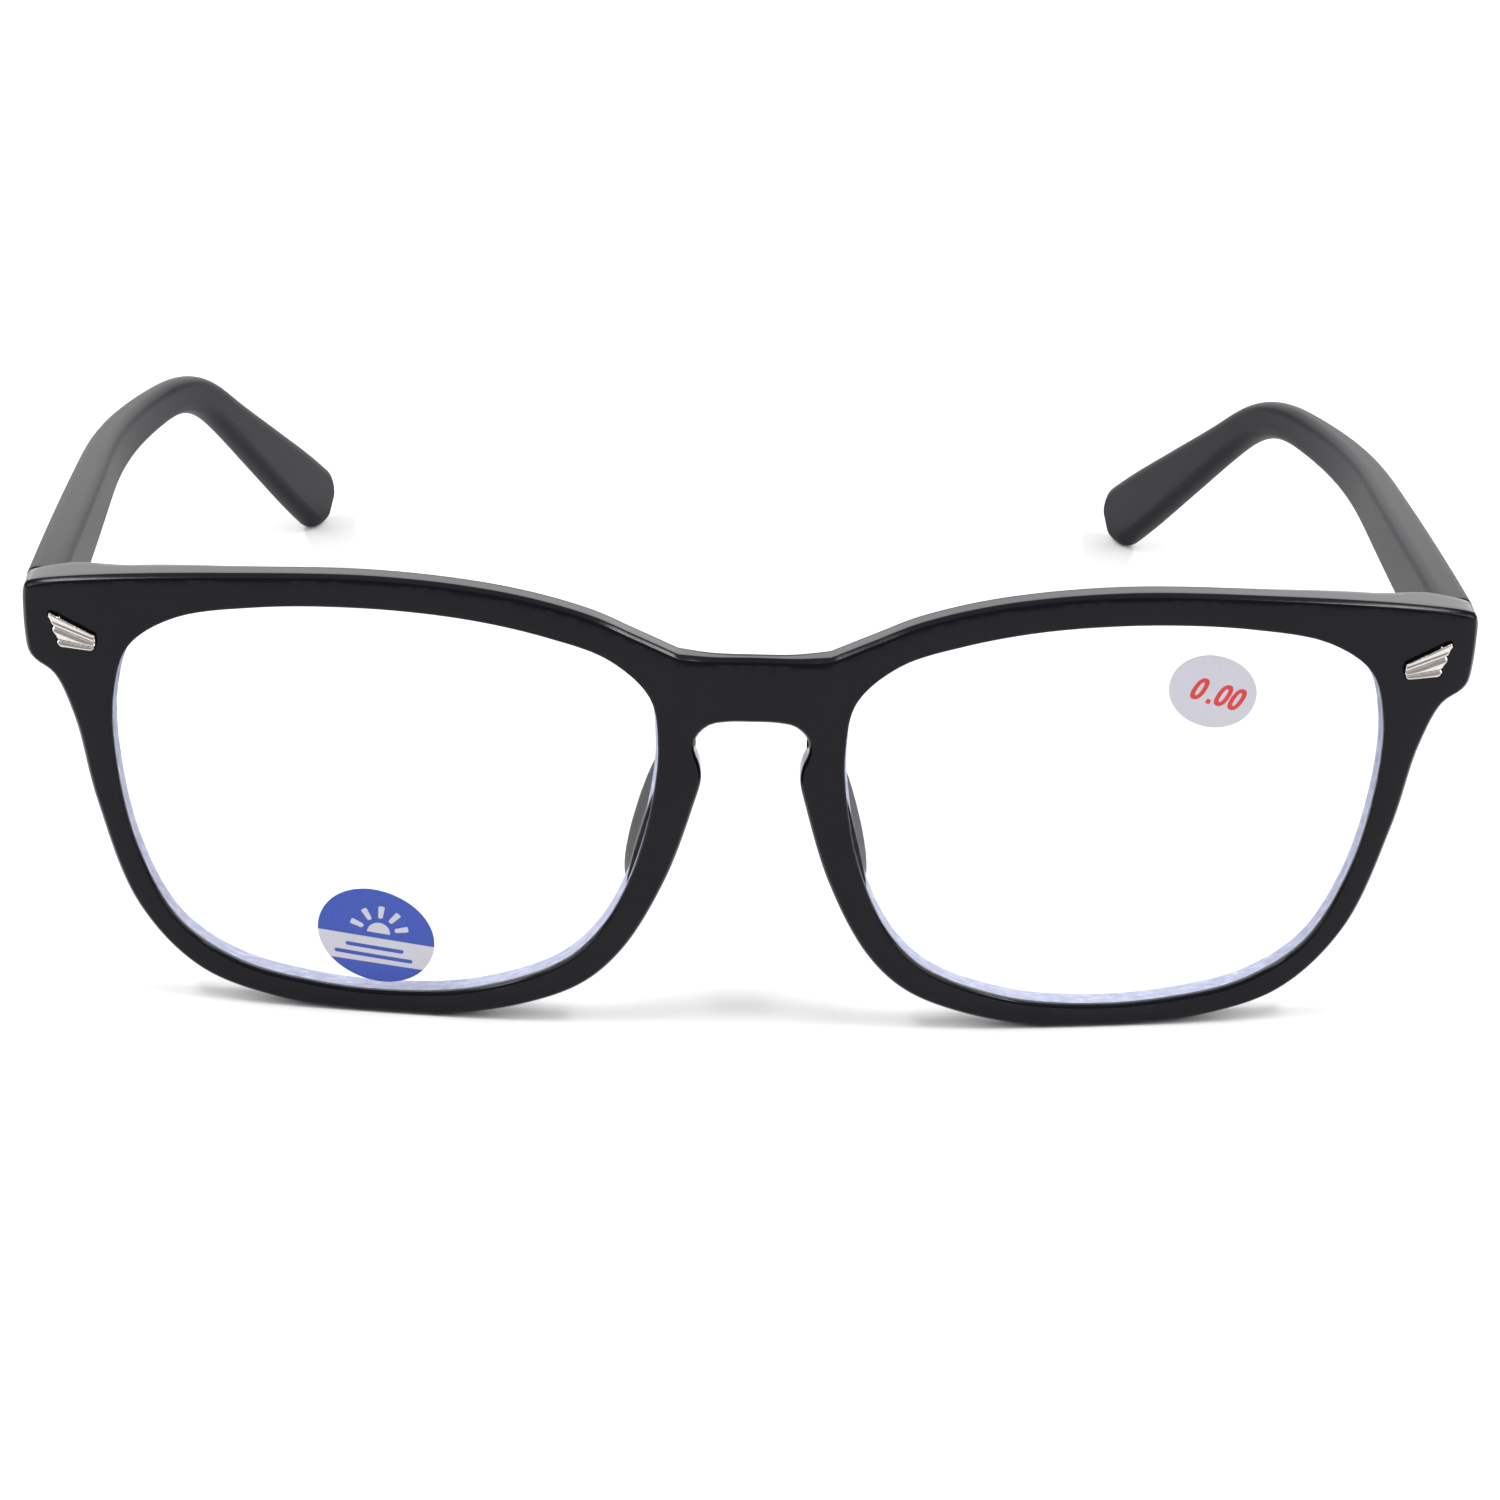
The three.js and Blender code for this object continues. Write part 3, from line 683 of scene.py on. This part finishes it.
def blue_light_sticker():
    """A blue label with a half sun above a pale band, and two plain bars where small print would be."""
    low, high = box_mm("blue_light_sticker")
    middle = (low + high)[[0, 2]] / 2
    outline = oval(middle, BLUE_LABEL["half_length"], BLUE_LABEL["half_width"], BLUE_LABEL["tilt"])
    tilt = turn_by(BLUE_LABEL["print_tilt"])
    marks = []
    for half, bottom in BARS:
        bar = rounded([[-half, bottom], [half, bottom], [half, bottom + 0.42], [-half, bottom + 0.42]], 0.15)
        marks.append(resample(bar, 0.25, closed=True))
    arc = np.linspace(0, math.pi, 25)
    marks.append(np.column_stack([np.cos(arc), np.sin(arc)]) * SUN["radius"] + SUN["at"])
    ray = resample(rounded([[1.65, -0.22], [3.0, -0.32], [3.0, 0.32], [1.65, 0.22]], 0.1), 0.2, closed=True)
    for k in range(SUN["rays"]):
        marks.append(ray @ turn_by((k + 0.5) * 180 / SUN["rays"]) + SUN["at"])
    marks = [mark @ tilt + middle for mark in marks]

    rim = inset(outline, 0.03)
    flat = (rim - middle) @ tilt.T
    chords = []
    for level in BAND:
        left = min((abs(z - level) + 9 * (x > 0), i) for i, (x, z) in enumerate(flat))[1]
        right = min((abs(z - level) + 9 * (x < 0), i) for i, (x, z) in enumerate(flat))[1]
        chords.append((left, right))

    def below(points, chord):
        a, b = rim[chord[0]], rim[chord[1]]
        return (b[0] - a[0]) * (points[:, 1] - a[1]) < (b[1] - a[1]) * (points[:, 0] - a[0])

    def printed(points):
        band = below(points, chords[0]) & ~below(points, chords[1])
        return np.where(band != in_any(points, marks), PAPER, PRINT)

    return sticker(outline, printed, marks, chords)


# ---------------------------------------------------------------- temples

TEMPLE = {"start_z": 39.3, "slope": 5.5, "bend_start": 78.2, "bend_end": 99.8, "hook_pitch": 37.0}
TEMPLE_HEIGHTS = [[0, 7.4], [45, 6.1], [72, 4.8], [86, 4.3], [100, 4.5], [114, 5.9], [128, 7.3], [145, 7.5]]
TEMPLE_THICKNESS = 3.8
TEMPLE_X = temple_high[0] - TEMPLE_THICKNESS / 2
TIP_REACH = 3.9
TEMPLE_EDGE = 1.15
SWEEP = {"start": 55.5, "end": 105.5, "slope": 0.33}
PATH_STEP = 0.25


def temple_path():
    """Distance along the temple's centre line, with its y, z and pitch."""
    along = np.arange(0, 180, PATH_STEP)
    bent = smoothstep(along, TEMPLE["bend_start"], TEMPLE["bend_end"])
    pitch = np.radians(TEMPLE["slope"] + (TEMPLE["hook_pitch"] - TEMPLE["slope"]) * bent)
    middle = (pitch[1:] + pitch[:-1]) / 2
    y = np.concatenate([[0], np.cumsum(np.cos(middle))]) * PATH_STEP
    z = np.concatenate([[0], np.cumsum(np.sin(middle))]) * PATH_STEP
    return along, SEAM_Y + SEAM_GAP + y, TEMPLE["start_z"] - z, pitch


def temple_height(s):
    """Smooth height of the temple between its key stations."""
    keys = np.array(TEMPLE_HEIGHTS, float)
    slopes = np.gradient(keys[:, 1], keys[:, 0])
    slopes[[0, -1]] = 0
    i = int(np.clip(np.searchsorted(keys[:, 0], s) - 1, 0, len(keys) - 2))
    step = keys[i + 1, 0] - keys[i, 0]
    t = min(max((s - keys[i, 0]) / step, 0), 1)
    a, b = keys[i, 1], keys[i + 1, 1]
    return (a * (1 + 2 * t) * (1 - t) ** 2 + slopes[i] * step * t * (1 - t) ** 2
            + b * t * t * (3 - 2 * t) + slopes[i + 1] * step * t * t * (t - 1))


def inward_sweep(y):
    length = SWEEP["end"] - SWEEP["start"]
    t = np.clip((y - SWEEP["start"]) / length, 0, 1)
    straight = np.maximum(0, y - SWEEP["end"])
    return SWEEP["slope"] * (length * (t ** 3 - t ** 4 / 2) + straight)


def round_section(half_across, half_up, radius, per_corner):
    """A rectangle's outline with round corners, as [across, up]."""
    radius = min(radius, half_across * 0.98, half_up * 0.98)
    points = []
    for corner, (a, b) in enumerate(((1, 1), (-1, 1), (-1, -1), (1, -1))):
        for angle in np.linspace(corner * 90, corner * 90 + 90, per_corner):
            turn = math.radians(angle)
            points.append([a * (half_across - radius) + radius * math.cos(turn),
                           b * (half_up - radius) + radius * math.sin(turn)])
    return np.array(points)


def temple_arm():
    """The temple, swept along its path to a round tip. Each station has a distance and a cut for its edge."""
    build = Builder()
    path, path_y, path_z, path_pitch = temple_path()
    steep = math.radians(TEMPLE["hook_pitch"])
    last = TEMPLE["bend_end"]
    for _ in range(5):
        reach = math.hypot(TIP_REACH * math.sin(steep), temple_height(last) / 2 * math.cos(steep))
        last = float(np.interp(-reach, -path_z, path))
    end = last + TIP_REACH
    stations = [(0.0, 0.22), (0.05, 0.1), (0.12, 0.03), (0.22, 0.0)]
    stations += [(s, 0.0) for s in np.linspace(0.8, last, 120)]
    stations += [(last + TIP_REACH * math.sin(a), 0.0) for a in np.linspace(0.06, math.pi / 2 - 0.015, 26)]
    rings = []
    for s, cut in stations:
        y, z, pitch = (np.interp(s, path, values) for values in (path_y, path_z, path_pitch))
        half_up = temple_height(min(s, last)) / 2
        if s > last:
            half_up *= math.sqrt(max(0.0, 1 - ((s - last) / TIP_REACH) ** 2))
        to_end = min((end - s) / TEMPLE_EDGE, 1)
        thin = TEMPLE_EDGE * (1 - math.sqrt(max(0.0, to_end * (2 - to_end))))
        tilt = pitch * smoothstep(s, 0, 14)
        half_across = (TEMPLE_THICKNESS - smoothstep(y, 30, 105)) / 2 - thin - cut
        radius = TEMPLE_EDGE + 0.3 * smoothstep(s, 60, 100)
        across, up = round_section(half_across, max(half_up - cut, 0.06), radius, 9).T
        back = y + up * math.sin(tilt)
        x = TEMPLE_X - inward_sweep(back) - across
        rings.append(build.add(np.column_stack([x, back, z + up * math.cos(tilt)])))
    for a, b in zip(rings, rings[1:]):
        build.bridge(a, b)
    build.face(rings[0])
    build.face(rings[-1])
    return build.shape()


# ---------------------------------------------------------------- hinge parts

KNUCKLE_RADIUS = 1.25
LEVELS = {"middle": 0.8, "washer": (0.9, 1.3), "outer": (1.4, 3.0)}
LEAF_THICKNESS = 0.8
SCREW = {"head": 1.05, "head_height": 0.6, "head_round": 0.25, "shank": 0.6, "slot": 0.3}
ON_AXIS = 1e-6


def lathe(profile, centre, sides=56):
    """A turned shape about a vertical axis. The profile holds [radius, height] and closes on itself."""
    build = Builder()
    turn = np.linspace(0, 2 * math.pi, sides, endpoint=False)
    rings = []
    for radius, height in profile:
        ring = np.column_stack([radius * np.cos(turn), radius * np.sin(turn), np.full(sides, height)])
        rings.append(build.add(ring + centre))
    for a, b in zip(rings, rings[1:] + rings[:1]):
        build.bridge(a, b)
    return build.shape()


def tube_profile(inner, outer, low, high, soft=0.1):
    slight = soft * 0.3
    bottom = [[inner, low], [outer - soft, low], [outer - slight, low + slight], [outer, low + soft]]
    top = [[outer, high - soft], [outer - slight, high - slight], [outer - soft, high], [inner, high]]
    return bottom + top


def rod_profile(radius, low, high, soft=0.1):
    return [[ON_AXIS, low], *tube_profile(0, radius, low, high, soft)[1:-1], [ON_AXIS, high]]


def block(low, high, soft=0.12):
    """A box with its edges rounded off."""
    bm = bmesh.new()
    bmesh.ops.create_cube(bm, size=1)
    low, high = np.array(low, float), np.array(high, float)
    for vert in bm.verts:
        vert.co = Vector((low + high) / 2 + np.array(vert.co) * (high - low))
    bmesh.ops.bevel(bm, geom=list(bm.edges), offset=soft, segments=3, profile=0.5, affect="EDGES")
    points = np.array([list(v.co) for v in bm.verts])
    faces = [[v.index for v in f.verts] for f in bm.faces]
    bm.free()
    return Shape(points, faces, [0] * len(faces))


def union(name, shapes, cuts=()):
    """One solid mesh from overlapping shapes, less the cuts."""
    base = to_object(name, shapes[0], [], weighted=False)
    others = [(to_object(f"{name}_part", shape, [], weighted=False), "UNION") for shape in shapes[1:]]
    others += [(to_object(f"{name}_cut", shape, [], weighted=False), "DIFFERENCE") for shape in cuts]
    for other, operation in others:
        modifier = base.modifiers.new("join", "BOOLEAN")
        modifier.object, modifier.operation, modifier.solver = other, operation, "EXACT"
    bpy.context.view_layer.update()
    mesh = bpy.data.meshes.new_from_object(base.evaluated_get(bpy.context.evaluated_depsgraph_get()))
    points = (np.array([list(v.co) for v in mesh.vertices]) - [0, BRIDGE_Y, 0]) / MM
    faces = [list(p.vertices) for p in mesh.polygons]
    for obj in [base, *(other for other, _ in others)]:
        bpy.data.objects.remove(obj)
    return Shape(points, faces, [0] * len(faces))


def rivet(middle, axis, radius=0.72, height=0.22):
    """A low domed head on a plate. axis is the direction that it faces."""
    profile = [[ON_AXIS, -0.3], [radius, -0.3], [radius, 0.02]]
    for a in np.linspace(0.15, math.pi / 2, 7):
        profile.append([radius * math.cos(a), height * math.sin(a) + 0.02])
    profile[-1][0] = ON_AXIS
    dome = lathe(profile, (0, 0, 0), 32)
    turn = np.array(Vector((0, 0, 1)).rotation_difference(Vector(axis)).to_matrix())
    return Shape(dome.points @ turn.T + middle, dome.faces, dome.finishes)


def front_leaf():
    back = LEAF_FACE + LEAF_THICKNESS + 0.05
    low, high = leaf_low, leaf_high
    plate = block([low[0], LEAF_FACE + 0.05, low[2]], [high[0] - 0.05, back, high[2]], 0.16)
    parts = [plate]
    for sign in (-1, 1):
        near, far = sorted((sign * LEVELS["outer"][0], sign * LEVELS["outer"][1]))
        web_low = [PIVOT[0] - 1.15, back - 0.4, PIVOT[2] + near + 0.02]
        web_high = [PIVOT[0] + 1.0, PIVOT[1], PIVOT[2] + far - 0.02]
        parts.append(block(web_low, web_high, 0.1))
        parts.append(lathe(rod_profile(KNUCKLE_RADIUS, near, far), PIVOT))
        parts.append(rivet([low[0] + 1.5, back, PIVOT[2] + sign * 1.5], (0, 1, 0)))
    return union("front_leaf", parts)


def temple_leaf():
    leaf_low_t, leaf_high_t = box_mm("hinge_temple_leaf_left")
    face = temple_high[0] - TEMPLE_THICKNESS - 0.05
    start, end = PIVOT[1] + 1.8, leaf_high_t[1]
    half = (leaf_high_t[2] - leaf_low_t[2]) / 2
    parts = [block([face - LEAF_THICKNESS, start, PIVOT[2] - half], [face + 0.1, end, PIVOT[2] + half], 0.16)]
    parts.append(block([PIVOT[0] - 0.1, PIVOT[1], PIVOT[2] - LEVELS["middle"] + 0.02],
                       [face, start + 0.6, PIVOT[2] + LEVELS["middle"] - 0.02], 0.1))
    parts.append(lathe(rod_profile(KNUCKLE_RADIUS, -LEVELS["middle"], LEVELS["middle"]), PIVOT))
    for share in (0.27, 0.75):
        parts.append(rivet([face - LEAF_THICKNESS, start + share * (end - start), PIVOT[2]], (-1, 0, 0)))
    return union("temple_leaf", parts)


def hinge_screw():
    seat = LEVELS["outer"][1] + 0.04
    top = seat + SCREW["head_height"]
    radius, soft = SCREW["head"], SCREW["head_round"]
    head = [[ON_AXIS, seat - 0.3], [0.58, seat - 0.3], [0.58, seat]]
    head += [[radius - 0.05, seat], [radius, seat + 0.06]]
    for a in np.linspace(0, math.pi / 2, 6):
        head.append([radius - soft * (1 - math.cos(a)), top - soft * (1 - math.sin(a))])
    head.append([ON_AXIS, top + 0.04])
    half = SCREW["slot"] / 2
    slot = block(PIVOT + [-2, -half, top - 0.25], PIVOT + [2, half, top + 1], 0.03)
    foot = -LEVELS["outer"][1] - 0.04
    shank = [[ON_AXIS, foot], [SCREW["shank"] - 0.1, foot], [SCREW["shank"], foot + 0.1]]
    shank += [[SCREW["shank"], seat - 0.2], [ON_AXIS, seat - 0.2]]
    return union("screw", [lathe(head, PIVOT), lathe(shank, PIVOT, 32)], [slot])


def hinge_washer(sign):
    low, high = sorted((sign * LEVELS["washer"][0], sign * LEVELS["washer"][1]))
    return lathe(tube_profile(0.66, KNUCKLE_RADIUS - 0.02, low, high, 0.06), PIVOT)


# ---------------------------------------------------------------- materials


def material(name):
    made = bpy.data.materials.new(name)
    made.use_nodes = True
    nodes, links = made.node_tree.nodes, made.node_tree.links
    return made, nodes, links, nodes["Principled BSDF"]


def coordinates(nodes, links, stretch=(1, 1, 1)):
    place_node = nodes.new("ShaderNodeTexCoord")
    mapping = nodes.new("ShaderNodeMapping")
    mapping.inputs["Scale"].default_value = stretch
    links.new(place_node.outputs["Object"], mapping.inputs["Vector"])
    return mapping.outputs["Vector"]


def noise(nodes, links, vector, scale, detail=3.0, rough=0.5):
    node = nodes.new("ShaderNodeTexNoise")
    node.inputs["Scale"].default_value = scale
    node.inputs["Detail"].default_value = detail
    node.inputs["Roughness"].default_value = rough
    links.new(vector, node.inputs["Vector"])
    return node.outputs["Fac"]


def ramp(nodes, links, value, stops):
    """Colours or greys along a value. stops are (position, grey or colour)."""
    node = nodes.new("ShaderNodeValToRGB")
    for i, (position, colour) in enumerate(stops):
        element = node.color_ramp.elements[i] if i < 2 else node.color_ramp.elements.new(position)
        element.position = position
        element.color = (colour,) * 3 + (1,) if isinstance(colour, float) else (*colour, 1)
    links.new(value, node.inputs["Fac"])
    return node.outputs["Color"]


def bump(nodes, links, height, distance, strength, shader):
    node = nodes.new("ShaderNodeBump")
    node.inputs["Distance"].default_value = distance
    node.inputs["Strength"].default_value = strength
    links.new(height, node.inputs["Height"])
    links.new(node.outputs["Normal"], shader.inputs["Normal"])


def satin_black(name, rough, ior):
    """Black plastic with a fine moulded grain. rough is its lowest and highest roughness."""
    made, nodes, links, shader = material(name)
    vector = coordinates(nodes, links)
    broad = noise(nodes, links, vector, 90, 2)
    grain = noise(nodes, links, vector, 5200, 3, 0.6)
    colour = ramp(nodes, links, broad, [(0.3, (0.0012, 0.0012, 0.0036)), (0.7, (0.0022, 0.0022, 0.0052))])
    links.new(colour, shader.inputs["Base Color"])
    links.new(ramp(nodes, links, grain, [(0.25, rough[0]), (0.75, rough[1])]), shader.inputs["Roughness"])
    shader.inputs["IOR"].default_value = ior
    bump(nodes, links, grain, 0.00001, 0.3, shader)
    return made


def lens_clear():
    """Coated plastic, which mirrors less than bare plastic: hence the low IOR."""
    made, nodes, links, shader = material("lens_clear")
    vector = coordinates(nodes, links)
    haze = noise(nodes, links, vector, 60, 2)
    colours = [(0.3, (0.985, 0.99, 1.0)), (0.7, (0.995, 0.997, 1.0))]
    links.new(ramp(nodes, links, haze, colours), shader.inputs["Base Color"])
    links.new(ramp(nodes, links, haze, [(0.3, 0.0), (0.7, 0.012)]), shader.inputs["Roughness"])
    shader.inputs["IOR"].default_value = 1.32
    shader.inputs["Transmission Weight"].default_value = 1.0
    return made


def lens_ground():
    made, nodes, links, shader = material("lens_ground_edge")
    vector = coordinates(nodes, links, (1, 5, 1))
    streak = noise(nodes, links, vector, 900, 4, 0.7)
    colours = [(0.3, (0.36, 0.38, 0.54)), (0.58, (0.54, 0.56, 0.73)), (0.76, (0.88, 0.89, 0.94))]
    links.new(ramp(nodes, links, streak, colours), shader.inputs["Base Color"])
    links.new(ramp(nodes, links, streak, [(0.3, 0.45), (0.7, 0.7)]), shader.inputs["Roughness"])
    bump(nodes, links, streak, 0.00003, 0.4, shader)
    return made


def metal(name, low, high, rough, scratch):
    made, nodes, links, shader = material(name)
    vector = coordinates(nodes, links, (1, 1, 6))
    brushed = noise(nodes, links, vector, 2600, 4, 0.6)
    links.new(ramp(nodes, links, brushed, [(0.3, low), (0.7, high)]), shader.inputs["Base Color"])
    links.new(ramp(nodes, links, brushed, [(0.3, rough[0]), (0.7, rough[1])]), shader.inputs["Roughness"])
    shader.inputs["Metallic"].default_value = 1.0
    bump(nodes, links, brushed, 0.000006, scratch, shader)
    return made


def paper(name, low, high, rough=0.5):
    made, nodes, links, shader = material(name)
    vector = coordinates(nodes, links)
    fibre = noise(nodes, links, vector, 3800, 5, 0.65)
    links.new(ramp(nodes, links, fibre, [(0.3, low), (0.7, high)]), shader.inputs["Base Color"])
    uneven = ramp(nodes, links, fibre, [(0.3, rough - 0.08), (0.7, rough + 0.08)])
    links.new(uneven, shader.inputs["Roughness"])
    bump(nodes, links, fibre, 0.000012, 0.4, shader)
    return made


def pale_floor():
    made, nodes, links, shader = material("pale_floor")
    vector = coordinates(nodes, links)
    soft = noise(nodes, links, vector, 3, 2)
    links.new(ramp(nodes, links, soft, [(0.3, 0.90), (0.7, 0.91)]), shader.inputs["Base Color"])
    shader.inputs["Roughness"].default_value = 1.0
    shader.inputs["Specular IOR Level"].default_value = 0.0
    return made


# ---------------------------------------------------------------- the object

black = satin_black("satin_black_front", (0.13, 0.18), 1.27)
matt_black = satin_black("matt_black_temple", (0.36, 0.44), 1.17)
pad_black = satin_black("satin_black_pad", (0.30, 0.38), 1.12)
glass, ground = lens_clear(), lens_ground()
trim_silver = metal("trim_silver", (0.58, 0.54, 0.51), (0.70, 0.66, 0.63), (0.16, 0.26), 0.2)
steel = metal("hinge_steel_brushed", (0.42, 0.42, 0.44), (0.62, 0.62, 0.64), (0.25, 0.42), 0.5)
nylon = paper("washer_nylon", (0.70, 0.68, 0.62), (0.78, 0.76, 0.70), 0.45)
label_pale = paper("label_pale", (0.51, 0.50, 0.56), (0.55, 0.54, 0.60))
label_red = paper("label_red", (0.54, 0.024, 0.020), (0.62, 0.034, 0.028))
label_blue = paper("label_blue", (0.018, 0.052, 0.33), (0.028, 0.072, 0.42))

place(to_object("moulded_front", moulded_front(), [black]), "front", "front_frame")
add_pair("nose_pad_{}", nose_pad(), "front", None, [pad_black])
add_pair("clear_lens_{}", clear_lens(), "front", "lens_{}", [glass, ground])
add_pair("winged_trim_{}", winged_trim(), "front", "wing_trim_{}", [trim_silver], 60)
add_pair("temple_arm_{}", temple_arm(), "{}_temple", "temple_{}", [matt_black])
add_pair("front_hinge_plate_{}", front_leaf(), "front", "hinge_front_leaf_{}", [steel])
add_pair("temple_hinge_plate_{}", temple_leaf(), "{}_temple", "hinge_temple_leaf_{}", [steel])
add_pair("pivot_screw_{}", hinge_screw(), "front", "hinge_screw_{}", [steel])
add_pair("lower_washer_{}", hinge_washer(-1), "front", "hinge_washer_lower_{}", [nylon])
add_pair("upper_washer_{}", hinge_washer(1), "front", "hinge_washer_upper_{}", [nylon])

for side in ("left", "right"):
    bpy.data.objects[f"clear_lens_{side}"].visible_shadow = False

power_label = to_object("power_label", power_sticker(), [label_pale, label_red])
place(power_label, "front", "power_sticker")
blue_light_label = to_object("blue_light_label", blue_light_sticker(), [label_pale, label_blue])
place(blue_light_label, "front", "blue_light_sticker")


# ---------------------------------------------------------------- floor, light and camera

CAMERA = {"elevation": 23.6, "turn": 2.08, "roll": 2.05, "distance": 0.480, "lens": 116.17}
AIM = Vector((0.00021, BRIDGE_Y + 0.01110, 0.02541))


def add_floor():
    mesh = bpy.data.meshes.new("floor")
    far = 6.0
    mesh.from_pydata([(-far, -far, 0), (far, -far, 0), (far, far, 0), (-far, far, 0)], [], [(0, 1, 2, 3)])
    mesh.materials.append(pale_floor())
    obj = bpy.data.objects.new("floor", mesh)
    bpy.context.scene.collection.objects.link(obj)


def add_softbox(name, location, target, width, height, radiance):
    light = bpy.data.lights.new(name, "AREA")
    light.shape, light.size, light.size_y = "RECTANGLE", width, height
    light.energy = radiance * math.pi * width * height
    obj = bpy.data.objects.new(name, light)
    obj.location = location
    obj.rotation_euler = (Vector(target) - Vector(location)).to_track_quat("-Z", "Y").to_euler()
    bpy.context.scene.collection.objects.link(obj)


def add_camera():
    e, turn, roll = (math.radians(CAMERA[k]) for k in ("elevation", "turn", "roll"))
    forward = Vector((math.sin(turn) * math.cos(e), math.cos(turn) * math.cos(e), -math.sin(e)))
    level = Vector((math.cos(turn), -math.sin(turn), 0))
    above = Vector((math.sin(turn) * math.sin(e), math.cos(turn) * math.sin(e), math.cos(e)))
    right = level * math.cos(roll) + above * math.sin(roll)
    up = above * math.cos(roll) - level * math.sin(roll)
    data = bpy.data.cameras.new("camera")
    data.lens, data.sensor_width, data.clip_start, data.clip_end = CAMERA["lens"], 36.0, 0.01, 50.0
    obj = bpy.data.objects.new("camera", data)
    bpy.context.scene.collection.objects.link(obj)
    place_at = AIM - forward * CAMERA["distance"]
    turned = Matrix((right, up, -forward)).transposed().to_4x4()
    obj.matrix_world = Matrix.Translation(place_at) @ turned
    bpy.context.scene.camera = obj


def light_world(strength):
    world = bpy.data.worlds.new("studio")
    world.use_nodes = True
    background = world.node_tree.nodes["Background"]
    background.inputs["Color"].default_value = (0.97, 0.98, 1.0, 1)
    background.inputs["Strength"].default_value = strength
    bpy.context.scene.world = world


add_floor()
add_softbox("overhead_panel", (0, 0.05, 0.95), (0, 0, 0), 1.30, 0.80, 0.6)
add_softbox("rear_softbox", (0, 1.35, 0.50), (0, 0, 0.02), 1.90, 0.96, 2.3)
for side, x in (("left", 1), ("right", -1)):
    add_softbox(f"{side}_strip", (0.56 * x, -0.13, 0.90), (0, -0.07, 0.04), 0.40, 0.12, 22.0)
    add_softbox(f"{side}_softbox", (0.85 * x, -0.25, 0.50), (0, 0, 0.02), 0.60, 0.60, 3.6)
light_world(0.45)
add_camera()
bpy.context.scene.view_settings.view_transform = "Standard"
